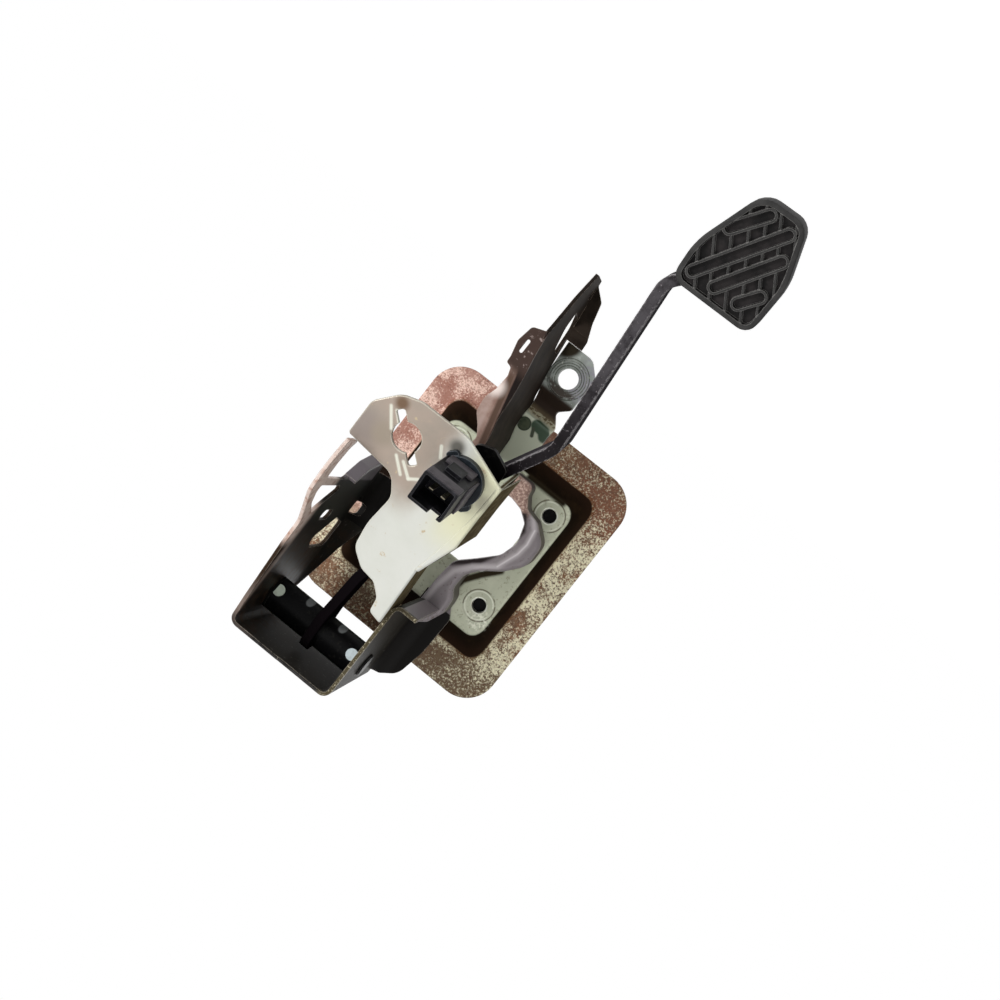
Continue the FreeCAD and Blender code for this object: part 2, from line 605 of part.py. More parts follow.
def pivot_pin(doc, s):
    near, far = -s.wall_left, s.wall_right
    head, rivet = far + s.pin_head_length, near - s.pin_rivet_length
    profile = [(rivet, 0), (rivet, s.pin_rivet_radius - 0.8), (rivet + 0.8, s.pin_rivet_radius),
               (near, s.pin_rivet_radius), (near, s.pin_radius), (far, s.pin_radius),
               (far, s.pin_head_radius), (head - 1, s.pin_head_radius),
               (head, s.pin_head_radius - 1), (head, 0)]
    return [turned_piece(doc, "pivot_pin", profile)]


def hub_ends(s):
    gap = s.bracket_sheet + s.bush_end_play + s.bush_flange
    return -s.wall_left + gap, s.wall_right - gap


def radial_peg(doc, s, label, x, angle, inner, length):
    """Cylinder square to the pivot axis, turned by the angle below the driver's line of sight."""
    peg = doc.addObject("Part::Cylinder", label)
    bind(peg, "Radius", "Sizes.nub_radius")
    peg.Height = length
    turn = Rotation(Vector(1, 0, 0), 90 + angle)
    way = turn.multVec(Vector(0, 0, 1))
    centre = Vector(x, -s.pivot_depth, s.pivot_height)
    peg.Placement = Placement(centre + way * inner, turn)
    return peg


def hub_and_bushes(doc, s):
    """Tube on the pivot with a flanged bush in each end, held by a nub through the tube."""
    left, right = hub_ends(s)
    inner = s.pin_radius + s.bush_play
    bore = inner + s.bush_wall
    root = bore - s.bush_wall / 2
    tube = turned_piece(doc, "hub_blank", [(left, bore), (left, s.hub_radius),
                                           (right, s.hub_radius), (right, bore)])
    holes, bushes = [], []
    for side, end, way, x, angle in (
            ("left", left, -1, left + s.left_nub_inset, s.left_nub_angle),
            ("right", right, 1, right - s.right_nub_inset, s.right_nub_angle)):
        holes.append(radial_peg(doc, s, "nub_hole", x, angle, 0, s.hub_radius + 3))
        profile = [(end + way * s.bush_flange, inner), (end + way * s.bush_flange, s.hub_radius),
                   (end, s.hub_radius), (end, bore), (end - way * s.bush_sleeve, bore),
                   (end - way * s.bush_sleeve, inner)]
        sleeve = turned_piece(doc, f"bush_{side}_sleeve", profile)
        nub = radial_peg(doc, s, f"bush_{side}_nub", x, angle, root, s.hub_radius - root + 0.4)
        bushes.append(joined(doc, f"bush_{side}", [sleeve, nub]))
    hub = boolean(doc, "Part::Cut", "hub_tube", tube, joined(doc, "nub_holes", holes))
    return [hub] + bushes


# Lever: arm, switch tab, bumper, pad plate and rubber, all in the lever's frame

def arm_path(s):
    """Plan of the flat bar from the hub to the pad, with its two joggles."""
    return [(s.arm_hub_x, s.arm_head + 1), (s.arm_hub_x, -14, 30), (s.arm_hub_x - 4.5, -56, 18),
            (s.arm_clevis_x, -90, 18), (s.arm_clevis_x, -136, 18), (s.arm_low_x, -193, 18),
            (s.arm_low_x + 5.4, -305, 10), (s.pad_x + 2, -s.pad_drop + 12)]


def pedal_arm(doc, s):
    rear = -s.arm_rear
    low = -s.pad_drop + 15
    side = [(rear, s.arm_head, s.arm_head - 2), (s.arm_head, s.arm_head, s.arm_head - 0.5),
            (rear + s.arm_width, -50, 40), (rear + s.arm_width - 2, -170, 80),
            (rear + s.arm_tip_width + 2, -290, 30), (rear + s.arm_tip_width, low, 6),
            (rear, low, 2)]
    plan = prism(doc, "arm_plan", "XZ_Plane", rounded(strip(arm_path(s), s.arm_thickness)), -40,
                 80, lever=True)
    region = prism(doc, "arm_side", "YZ_Plane", rounded(side), -80, 120, lever=True)
    blank = boolean(doc, "Part::Common", "arm_blank", plan, region)
    holes = [prism(doc, "hub_hole", "YZ_Plane", circle(0, 0, s.hub_radius), 0, 60, lever=True),
             prism(doc, "clevis_hole", "YZ_Plane",
                   circle(-s.arm_rear + s.arm_width / 2, -s.clevis_drop, s.clevis_radius), -30, 60,
                   lever=True)]
    return [boolean(doc, "Part::Cut", "pedal_arm", blank, joined(doc, "arm_holes", holes))]


def switch_tab(doc, s):
    """Small plate across the arm's rear edge, with the bumper that meets the plunger."""
    low = -s.switch_drop
    outline = [(10.5, low - 13.5, 5), (10.5, low + 12.5, 3), (-12, low + 12.5, 3),
               (-13, low - 11.5, 3), (0, low - 17.5, 6)]
    tab = new_body(doc, "switch_tab", lever=True)
    add_pad(tab, "XZ_Plane", rounded(outline), "Sizes.arm_rear", "Sizes.tab_sheet")
    bumper = new_body(doc, "tab_bumper", lever=True)
    add_pad(bumper, "XZ_Plane", circle(s.switch_x, low, s.bumper_radius),
            "Sizes.arm_rear + Sizes.tab_sheet", "Sizes.bumper_head")
    return [tab, bumper]


def pad_outline(s, inset):
    """Tapered pad, widest above and narrow at its foot, set in by a distance."""
    wide, narrow = s.pad_half_width - inset, s.pad_low_half_width - inset
    high, low = s.pad_half_height - inset, -s.pad_half_height + inset
    corners = [(wide, high, 5), (wide, high / 4, 30), (narrow - 1, low, 9 - inset),
               (-narrow - 1, low, 9 - inset), (-wide, 0, 30), (-wide, high, 5)]
    return rounded([(s.pad_x + u, -s.pad_drop + v, r) for u, v, r in corners])


def slanted_slot(s, top, bottom):
    """Stadium between two points of the pad's face."""
    start = Vector(s.pad_x + top[0], top[1] - s.pad_drop, 0)
    end = Vector(s.pad_x + bottom[0], bottom[1] - s.pad_drop, 0)
    along = (end - start).normalize() * s.pad_groove_half
    across = Vector(-along.y, along.x, 0)
    first, last = start - along, end + along
    corners = [first + across, last + across, last - across, first - across]
    return rounded([(c.x, c.y, s.pad_groove_half * 0.98) for c in corners])


def pad_and_plate(doc, s):
    plate = new_body(doc, "pad_plate", lever=True)
    add_pad(plate, "XZ_Plane", pad_outline(s, s.pad_plate_inset), "Sizes.arm_rear",
            "Sizes.pad_plate_sheet")
    rubber = new_body(doc, "pedal_pad", lever=True)
    front = "Sizes.arm_rear + Sizes.pad_plate_sheet + Sizes.pad_thickness"
    add_pad(rubber, "XZ_Plane", pad_outline(s, 0), "Sizes.arm_rear",
            "Sizes.pad_plate_sheet + Sizes.pad_thickness")
    add_pocket(rubber, "XZ_Plane", pad_outline(s, s.pad_plate_inset),
               "Sizes.arm_rear + Sizes.pad_plate_sheet", "Sizes.pad_plate_sheet + 1")
    grooves = (((18, -4), (2, -26)), ((19.5, 23), (-11, -24)), ((6, 23), (-16.5, -12)),
               ((-8, 23), (-18.5, 8)))
    for top, bottom in grooves:
        add_pocket(rubber, "XZ_Plane", slanted_slot(s, top, bottom), front, "Sizes.pad_groove")
    return [plate, rubber]


# Stop lamp switch on the switch plate, in the lever's frame

def switch_holder(doc, s):
    low = -s.switch_drop
    face = "Sizes.switch_plate_face"
    body = new_body(doc, "switch_holder", lever=True)
    add_pad(body, "XZ_Plane", circle(s.switch_x, low, s.holder_radius), face, "Sizes.holder_flange")
    ears = slanted_box(s, s.switch_x, s.holder_ear_width, s.holder_ear_reach, 2)
    add_pad(body, "XZ_Plane", ears, face, "Sizes.holder_flange - 1")
    add_pad(body, "XZ_Plane", circle(s.switch_x, low, s.holder_barrel),
            f"{face} - Sizes.holder_back - Sizes.switch_plate_sheet",
            "Sizes.holder_back + Sizes.switch_plate_sheet")
    add_pocket(body, "XZ_Plane", circle(s.switch_x, low, s.switch_core_radius),
               f"{face} + Sizes.holder_flange + 1", 40)
    return [body]


def switch_body(doc, s):
    """Core in the holder with a square base and an open two-way socket."""
    low = -s.switch_drop
    core_x = s.switch_x
    x = core_x + s.socket_offset
    face = "Sizes.switch_plate_face + Sizes.holder_flange"
    back = "Sizes.switch_plate_face - Sizes.holder_back - Sizes.switch_plate_sheet"
    wide, tall, wall = s.socket_half_width, s.socket_half_height, s.socket_wall
    body = new_body(doc, "switch_body", lever=True)
    add_pad(body, "XZ_Plane", circle(core_x, low, s.switch_core_radius), back,
            "Sizes.holder_back + Sizes.switch_plate_sheet + Sizes.holder_flange")
    shell = rounded(box_corners(x - wide, x + wide, low - tall, low + tall, 1))
    add_pad(body, "XZ_Plane", shell, face, "Sizes.socket_length")
    mouth = box_corners(x - wide + wall, x + wide - wall, low - tall + wall, low + tall - wall, 1)
    add_pocket(body, "XZ_Plane", rounded(mouth), face + " + Sizes.socket_length",
               "Sizes.socket_depth")
    notch = box_corners(x - wide + 3, x - wide + 9, low + tall - wall - 1, low + tall + 1)
    add_pocket(body, "XZ_Plane", rounded(notch), face + " + Sizes.socket_length", 6)
    latch = box_corners(x - 5, x + 5, low - tall - 2.4, low - tall)
    add_pad(body, "XZ_Plane", rounded(latch), face + " + Sizes.socket_base", 10)
    add_pocket(body, "XZ_Plane", circle(core_x, low, s.plunger_radius + s.plunger_play),
               back + " + Sizes.plunger_bore - 5", 40)
    return [body]


def terminals(doc, s):
    """Two flat blades standing on the floor of the socket."""
    blades = []
    floor = ("Sizes.switch_plate_face + Sizes.holder_flange + Sizes.socket_length"
             " - Sizes.socket_depth")
    for number, way in enumerate((-1, 1), start=1):
        x = s.switch_x + s.socket_offset + way * s.blade_spacing / 2
        low = -s.switch_drop
        outline = box_corners(x - s.blade_width / 2, x + s.blade_width / 2,
                              low - s.blade_sheet / 2, low + s.blade_sheet / 2)
        blades.append(prism(doc, f"terminal_{number}", "XZ_Plane", rounded(outline), floor,
                            "Sizes.blade_length", lever=True))
    return blades


def plunger(doc, s):
    tip = "Sizes.arm_rear + Sizes.tab_sheet + Sizes.bumper_head + Sizes.plunger_gap"
    edges = circle(s.switch_x, -s.switch_drop, s.plunger_radius)
    return [prism(doc, "switch_plunger", "XZ_Plane", edges, tip, "Sizes.plunger_length",
                  lever=True)]


def check(doc, parts):
    """Stop on any failed object or unsound shape."""
    for item in doc.Objects:
        if "Invalid" in item.State or "Error" in item.State:
            raise RuntimeError(f"{item.Label}: {item.State}")
    for part in parts:
        shape = part.Shape
        if shape.isNull() or not shape.isValid() or not shape.Solids:
            raise RuntimeError(f"{part.Label}: unsound shape")


def main():
    doc = FreeCAD.newDocument("brake_pedal")
    s = make_sheet(doc)
    parts = []
    for make in (dash_plate, stud_collars, pedal_bracket, side_stay, switch_plate, inner_stay,
                 ear_bracket, pivot_pin, hub_and_bushes, pedal_arm, switch_tab, pad_and_plate,
                 switch_holder, switch_body, terminals, plunger):
        parts += make(doc, s)
        doc.recompute()
    check(doc, parts)
    os.makedirs("parts", exist_ok=True)
    for part in parts:
        part.Shape.exportStep(f"parts/{part.Label}.step")
        box = part.Shape.BoundBox
        print(f"{part.Label}: {len(part.Shape.Solids)} solid, {part.Shape.Volume:.0f} mm3, "
              f"x {box.XMin:.1f} {box.XMax:.1f}, y {box.YMin:.1f} {box.YMax:.1f}, "
              f"z {box.ZMin:.1f} {box.ZMax:.1f}")


main()
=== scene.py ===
import bmesh
import bpy
from math import radians
from mathutils import Matrix, Vector


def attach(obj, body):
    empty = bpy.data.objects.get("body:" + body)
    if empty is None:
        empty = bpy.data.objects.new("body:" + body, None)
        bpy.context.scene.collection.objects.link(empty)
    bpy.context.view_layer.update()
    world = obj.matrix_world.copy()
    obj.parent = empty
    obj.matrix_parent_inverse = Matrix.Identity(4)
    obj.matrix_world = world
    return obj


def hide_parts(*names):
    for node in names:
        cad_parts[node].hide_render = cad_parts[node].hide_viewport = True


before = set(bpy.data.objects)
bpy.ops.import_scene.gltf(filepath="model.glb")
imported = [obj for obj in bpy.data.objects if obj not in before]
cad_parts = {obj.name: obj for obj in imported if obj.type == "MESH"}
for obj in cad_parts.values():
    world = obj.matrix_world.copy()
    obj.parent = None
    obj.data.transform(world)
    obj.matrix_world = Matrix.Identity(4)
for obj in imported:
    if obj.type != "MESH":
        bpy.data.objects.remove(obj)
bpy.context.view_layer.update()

# Frames of reference: pieces are shaped in millimetres, and the lever's frame starts at the pivot
CAR = Matrix.Scale(0.001, 4)
PIVOT, LEVER_TILT = Vector((0, -72, 101)), 20
LEVER = CAR @ Matrix.Translation(PIVOT) @ Matrix.Rotation(radians(-LEVER_TILT), 4, "X")


# Node helpers

def new_node(tree, kind, links=(), **values):
    """Node with the given property values; links are (input, socket or plain value)."""
    node = tree.nodes.new(kind)
    for name, value in values.items():
        setattr(node, name, value)
    for key, source in links:
        if isinstance(source, bpy.types.NodeSocket):
            tree.links.new(source, node.inputs[key])
        else:
            node.inputs[key].default_value = source
    return node


def maths(tree, operation, a, b=0.0):
    return new_node(tree, "ShaderNodeMath", ((0, a), (1, b)), operation=operation).outputs[0]


def ramp_between(tree, value, low, high):
    """0 below low, 1 above high, and smooth between them."""
    node = new_node(tree, "ShaderNodeMapRange", (("Value", value), ("From Min", low),
                                                 ("From Max", high)))
    node.interpolation_type = "SMOOTHSTEP"
    return node.outputs["Result"]


def blend_colours(tree, factor, first, second):
    """The first colour where the factor is 0, the second where it is 1."""
    node = new_node(tree, "ShaderNodeMix", data_type="RGBA")
    for key, source in ((0, factor), (6, first), (7, second)):
        if isinstance(source, bpy.types.NodeSocket):
            tree.links.new(source, node.inputs[key])
        else:
            node.inputs[key].default_value = (*source, 1) if key else source
    return node.outputs[2]


def new_group(name, inputs, outputs):
    """Empty node group and its two end nodes."""
    group = bpy.data.node_groups.new(name, "ShaderNodeTree")
    for label, kind, value in inputs:
        socket = group.interface.new_socket(label, in_out="INPUT", socket_type=kind)
        if value is not None:
            socket.default_value = value
    for label, kind in outputs:
        group.interface.new_socket(label, in_out="OUTPUT", socket_type=kind)
    return group, group.nodes.new("NodeGroupInput"), group.nodes.new("NodeGroupOutput")


def use_group(tree, group, **values):
    """Outputs of a node group whose inputs get the given values or sockets."""
    node = tree.nodes.new("ShaderNodeGroup")
    node.node_tree = group
    for name, value in values.items():
        key = name.replace("_", " ").capitalize()
        if isinstance(value, bpy.types.NodeSocket):
            tree.links.new(value, node.inputs[key])
        else:
            node.inputs[key].default_value = value
    return node.outputs


# Effects shared by several finishes. The noise seldom goes above NOISE_HIGH, and a cover of 1
# brings the level of a patch down by NOISE_SPREAD. An edge counts as worn between two bends.

NOISE_HIGH, NOISE_SPREAD = 0.72, 0.44
SLIGHT_BEND, FULL_BEND = 0.02, 0.22
GRAIN_DEPTH = 0.0002


def patches_group():
    """Irregular patches: cover is the share of the surface, softness the width of their edge."""
    group, start, end = new_group(
        "patches", [("Scale", "NodeSocketFloat", 100.0), ("Cover", "NodeSocketFloat", 0.5),
                    ("Softness", "NodeSocketFloat", 0.05), ("Offset", "NodeSocketFloat", 0.0)],
        [("Mask", "NodeSocketFloat")])
    place = new_node(group, "ShaderNodeTexCoord").outputs["Object"]
    moved = new_node(group, "ShaderNodeVectorMath", ((0, place), (1, start.outputs["Offset"])),
                     operation="ADD").outputs[0]
    noise = new_node(group, "ShaderNodeTexNoise", (("Vector", moved),
                     ("Scale", start.outputs["Scale"]), ("Detail", 5.0), ("Roughness", 0.62)))
    level = maths(group, "SUBTRACT", NOISE_HIGH,
                  maths(group, "MULTIPLY", start.outputs["Cover"], NOISE_SPREAD))
    low = maths(group, "SUBTRACT", level, start.outputs["Softness"])
    high = maths(group, "ADD", level, start.outputs["Softness"])
    group.links.new(ramp_between(group, noise.outputs["Fac"], low, high), end.inputs["Mask"])
    return group


def worn_edge_group():
    """Edges that the light catches: a rounded normal and a mask along the edge."""
    group, start, end = new_group(
        "worn_edge", [("Width", "NodeSocketFloat", 0.001)],
        [("Mask", "NodeSocketFloat"), ("Normal", "NodeSocketVector")])
    bevel = new_node(group, "ShaderNodeBevel", (("Radius", start.outputs["Width"]),), samples=6)
    flat = new_node(group, "ShaderNodeNewGeometry").outputs["Normal"]
    along = new_node(group, "ShaderNodeVectorMath", ((0, bevel.outputs[0]), (1, flat)),
                     operation="DOT_PRODUCT").outputs["Value"]
    turned = ramp_between(group, maths(group, "SUBTRACT", 1.0, along), SLIGHT_BEND, FULL_BEND)
    group.links.new(turned, end.inputs["Mask"])
    group.links.new(bevel.outputs[0], end.inputs["Normal"])
    return group


def grain_group():
    """Fine relief for a bump."""
    group, start, end = new_group("grain", [("Scale", "NodeSocketFloat", 900.0)],
                                  [("Height", "NodeSocketFloat")])
    place = new_node(group, "ShaderNodeTexCoord").outputs["Object"]
    noise = new_node(group, "ShaderNodeTexNoise", (("Vector", place),
                     ("Scale", start.outputs["Scale"]), ("Detail", 4.0), ("Roughness", 0.6)))
    group.links.new(noise.outputs["Fac"], end.inputs["Height"])
    return group


PATCHES = patches_group()
WORN_EDGE = worn_edge_group()
GRAIN = grain_group()


FAR_AWAY = 1000.0


class Finish:
    """One material: a stack of colours, each laid over the last through a mask.

    Places are in millimetres. The lever's own axes are across (its x), deep and along.
    """

    def __init__(self, name, colour, roughness=0.5, metallic=0.0, gloss=0.5, edge_width=0.0006):
        self.material = bpy.data.materials.new(name)
        self.material.use_nodes = True
        self.tree = self.material.node_tree
        self.shader = self.tree.nodes["Principled BSDF"]
        self.colour = colour
        self.roughness = roughness
        self.gloss = gloss
        self.shader.inputs["Metallic"].default_value = metallic
        place = new_node(self.tree, "ShaderNodeTexCoord").outputs["Object"]
        self.x, self.y, self.z = self.axes(place, (0, 0, 0), 0)
        self.across, self.deep, self.along = self.axes(place, -0.001 * PIVOT, LEVER_TILT)
        self.edge = use_group(self.tree, WORN_EDGE, width=edge_width)

    def axes(self, place, move, turn):
        """The place moved, turned about X and put in millimetres, as three values."""
        moved = new_node(self.tree, "ShaderNodeVectorMath", ((0, place), (1, move)),
                         operation="ADD").outputs[0]
        turned = new_node(self.tree, "ShaderNodeMapping", (("Vector", moved),
                          ("Rotation", (radians(turn), 0, 0)), ("Scale", (1000, 1000, 1000))))
        return new_node(self.tree, "ShaderNodeSeparateXYZ", ((0, turned.outputs[0]),)).outputs

    def patches(self, scale, cover, softness=0.04, offset=0.0):
        """Irregular patches; a larger scale makes them smaller."""
        return use_group(self.tree, PATCHES, scale=scale, cover=cover, softness=softness,
                         offset=offset)[0]

    def above(self, value, level, soft=1.0):
        """1 where the value is above the level, over a soft width."""
        return ramp_between(self.tree, value, level - soft / 2, level + soft / 2)

    def below(self, value, level, soft=1.0):
        """1 where the value is below the level, over a soft width."""
        return maths(self.tree, "SUBTRACT", 1.0, self.above(value, level, soft))

    def within(self, value, low, high, soft=1.0):
        return self.both(self.above(value, low, soft), self.below(value, high, soft))

    def both(self, *masks):
        """1 where all the masks are 1."""
        whole = masks[0]
        for mask in masks[1:]:
            whole = maths(self.tree, "MULTIPLY", whole, mask)
        return whole

    def distance(self, across, up, middle):
        """Distance from a middle point, in the plane of two of the axes."""
        sides = [maths(self.tree, "SUBTRACT", value, at) for value, at in zip((across, up), middle)]
        squares = [maths(self.tree, "MULTIPLY", side, side) for side in sides]
        return maths(self.tree, "SQRT", maths(self.tree, "ADD", *squares))

    def spot(self, across, up, middle, radius, soft=1.0):
        """1 in a round spot, in the plane of two of the axes."""
        return self.below(self.distance(across, up, middle), radius, soft)

    def share(self, low, high, mask):
        """A cover that goes from low to high as the mask goes from 0 to 1."""
        return new_node(self.tree, "ShaderNodeMapRange", (("Value", mask), ("To Min", low),
                                                          ("To Max", high))).outputs["Result"]

    def line_distance(self, across, up, start, end):
        """Distance from the line between two points, in the plane of two of the axes."""
        way = Vector(end) - Vector(start)
        run = way.length
        way.normalize()
        sides = [maths(self.tree, "SUBTRACT", value, at) for value, at in zip((across, up), start)]
        steps = [maths(self.tree, "MULTIPLY", side, part) for side, part in zip(sides, way)]
        reach = new_node(self.tree, "ShaderNodeClamp", (
            ("Value", maths(self.tree, "ADD", *steps)), ("Min", 0.0), ("Max", run))).outputs[0]
        rests = [maths(self.tree, "SUBTRACT", side, maths(self.tree, "MULTIPLY", reach, part))
                 for side, part in zip(sides, way)]
        squares = [maths(self.tree, "MULTIPLY", rest, rest) for rest in rests]
        return maths(self.tree, "SQRT", maths(self.tree, "ADD", *squares))

    def trail(self, across, up, points, half, soft=1.0):
        """1 along a trail of points, to half a width on each side."""
        nearest = FAR_AWAY
        for start, end in zip(points, points[1:]):
            nearest = maths(self.tree, "MINIMUM", nearest,
                            self.line_distance(across, up, start, end))
        return self.below(nearest, half, soft)

    def mixed(self, mask, first, second):
        """The first value, with the second where the mask is 1 if there is a second."""
        if second is None:
            return first
        return new_node(self.tree, "ShaderNodeMix", ((0, mask), (2, first), (3, second))).outputs[0]

    def lay(self, mask, colour, roughness=None, gloss=None):
        """Put a colour, and a roughness or gloss if given, over all that lies below."""
        self.colour = blend_colours(self.tree, mask, self.colour, colour)
        self.roughness = self.mixed(mask, self.roughness, roughness)
        self.gloss = self.mixed(mask, self.gloss, gloss)

    def wear(self, colour, amount=0.8, scale=260.0, cover=0.6, roughness=0.4, where=1.0):
        """Bare edges, broken up by patches."""
        broken = self.both(self.edge["Mask"], self.patches(scale, cover, 0.1, 0.3), where)
        self.lay(maths(self.tree, "MULTIPLY", broken, amount), colour, roughness)

    def done(self, bump_scale=700.0, bump=0.15):
        """Join the stack and a fine grain to the shader, and return the material."""
        height = use_group(self.tree, GRAIN, scale=bump_scale)[0]
        relief = new_node(self.tree, "ShaderNodeBump", (
            ("Strength", bump), ("Distance", GRAIN_DEPTH), ("Height", height),
            ("Normal", self.edge["Normal"])))
        self.tree.links.new(relief.outputs[0], self.shader.inputs["Normal"])
        for key, value in (("Base Color", self.colour), ("Roughness", self.roughness),
                           ("Specular IOR Level", self.gloss)):
            if isinstance(value, bpy.types.NodeSocket):
                self.tree.links.new(value, self.shader.inputs[key])
            else:
                plain = (*value, 1) if key == "Base Color" else value
                self.shader.inputs[key].default_value = plain
        return self.material


# Finishes

# Places on the dash plate as (x, z), and depths where its panel and slopes end
STUD_X, STUD_Z = 38.5, 36.5
PANEL_FRONT, SLOPE_TOP, SLOPE_FOOT, RIM_FRONT = -14.5, -15.8, -3.0, -4.0
PANEL_SHADE = ((-13.3, -48.6), (-40.4, -48.4))
RIM_SHADE = (66.0, 9.6)
# Painted shadow that the stay casts on the panel, as a trail of (x, z)
STAY_SHADOW = ((-19.0, 37.8), (-20.3, 30.1), (-27.0, 20.6), (-36.0, 10.2))
WORN = (-43.8, 44.1)
# Rings round each stud as (radius, colour): painted shade at the foot of the raised boss, and
# painted highlights on its edge and on the hole's edge
STUD_RING_HIGHLIGHTS_AND_SHADE = ((10.4, (0.13, 0.12, 0.075)), (9.2, (0.66, 0.68, 0.56)), (5.2, (0.78, 0.80, 0.70)))
CREAM, RUST, DEEP_RUST = (0.76, 0.71, 0.50), (0.24, 0.105, 0.05), (0.10, 0.05, 0.026)


def dash_zinc():
    """Zinc panel with painted shade and highlight rings round the studs, painted shade on the
    slopes and in spots, and a rim speckled with rust.
    """
    f = Finish("dash_zinc", (0.44, 0.46, 0.34), roughness=0.42, metallic=0.2, edge_width=0.0015)
    f.lay(f.patches(60, 0.4, 0.15), (0.52, 0.54, 0.41))
    f.lay(f.patches(500, 0.25, 0.05), (0.30, 0.30, 0.21), 0.45)
    beside = [maths(f.tree, "ABSOLUTE", value) for value in (f.x, f.z)]
    from_stud = f.distance(*beside, (STUD_X, STUD_Z))
    # Painted shade and highlight rings round the studs
    for radius, colour in STUD_RING_HIGHLIGHTS_AND_SHADE:
        f.lay(f.both(f.within(from_stud, radius - 0.4, radius + 0.4, 0.5),
                     f.above(f.patches(90, 0.55, 0.04, radius), 0.2)), colour, 0.35)
    panel, rim = f.below(f.y, PANEL_FRONT), f.above(f.y, RIM_FRONT, 2.0)
    f.wear((0.62, 0.63, 0.48), amount=0.8, cover=0.85, where=panel)
    # Painted shade on the slopes round the panel, a little browner towards the rim
    slope = f.both(f.above(f.y, SLOPE_TOP), f.below(f.y, SLOPE_FOOT, 2.0))
    f.lay(slope, (0.007, 0.004, 0.002), 0.7, 0.02)
    f.lay(f.both(slope, f.patches(90, 0.3, 0.12)), (0.016, 0.009, 0.004))
    f.lay(f.both(slope, f.above(f.y, -9.0, 9.0)), (0.018, 0.009, 0.005))
    shade = f.trail(f.x, f.z, PANEL_SHADE, 2.0, 3.0)
    f.lay(f.both(shade, panel), (0.022, 0.016, 0.009), 0.7, 0.0)
    # Painted shadow of the stay
    stay_shadow = f.trail(f.x, f.z, STAY_SHADOW, 2.2, 2.2)
    f.lay(f.both(stay_shadow, panel), (0.034, 0.026, 0.015), 0.7, 0.0)
    worn = f.both(panel, f.spot(f.x, f.z, WORN, 7.0, 5.0), f.patches(420, 0.42, 0.1))
    f.lay(worn, (0.72, 0.73, 0.60), 0.35)
    lay_rim(f, rim)
    f.lay(f.both(rim, f.spot(f.x, f.z, RIM_SHADE, 6.5, 3.0)), (0.016, 0.010, 0.007), 0.7, 0.0)
    return f.done(bump_scale=800, bump=0.35)


def lay_rim(f, rim):
    """Rust on the rim, with cream or pink zinc left in clusters of fine specks."""
    f.lay(rim, (0.20, 0.125, 0.075), 0.65)
    f.lay(f.both(rim, f.patches(48, 0.5, 0.1, 2.0)), RUST)
    f.lay(f.both(rim, f.patches(240, 0.4, 0.2, 9.0)), (0.15, 0.075, 0.032))
    low_left = f.both(f.below(f.x, -30, 30), f.below(f.z, -38, 25))
    top_left = f.both(f.below(f.x, -20, 40), f.above(f.z, 60, 20))
    f.lay(f.both(rim, low_left), (0.17, 0.065, 0.030))
    f.lay(f.both(rim, top_left), (0.135, 0.085, 0.042))
    pink = f.both(rim, f.above(f.x, -5, 30), f.below(f.z, 46, 30))
    f.lay(pink, (0.31, 0.135, 0.095), 0.6)
    f.lay(f.both(pink, f.patches(40, 0.5, 0.15, 4.0)), (0.40, 0.215, 0.165))
    middle = f.both(f.above(f.z, -42, 30), f.below(f.z, 70, 30))
    clusters = f.both(f.patches(55, 0.66, 0.15, 7.0), f.share(0.30, 1.0, middle))
    plain = maths(f.tree, "SUBTRACT", 1.0, pink)
    f.lay(f.both(rim, plain, f.patches(820, f.share(0.12, 0.80, clusters), 0.12)), CREAM, 0.5)
    f.lay(f.both(pink, f.patches(900, f.share(0.14, 0.62, f.patches(60, 0.5, 0.12, 3.0)), 0.12)),
          (0.74, 0.52, 0.43), 0.5)
    f.lay(f.both(rim, plain, f.patches(700, 0.34, 0.08, 5.0)), DEEP_RUST, 0.65)
    f.lay(f.both(pink, f.patches(700, 0.2, 0.08, 5.0)), (0.17, 0.065, 0.045), 0.65)


# The channel between its walls and below its web, as ranges of x and z, and the lip's own place.
# The far wall's low edge and the rail have their own ranges.
CHANNEL_X, CHANNEL_Z, WEB_TOP = (-9.4, 62.6), (45, 118.6), 119
LIP_X, LIP_Y, LIP_Z = -11.6, -116.2, 52.7
FAR_WALL_X, RAIL_X, LOW_EDGE_X, LOW_EDGE_Y = 63.5, 64.2, (55, 66), (-112, -38)
LOW_EDGE_TOP, RAIL_REAR, RAIL_DARK = 14, -126, 60


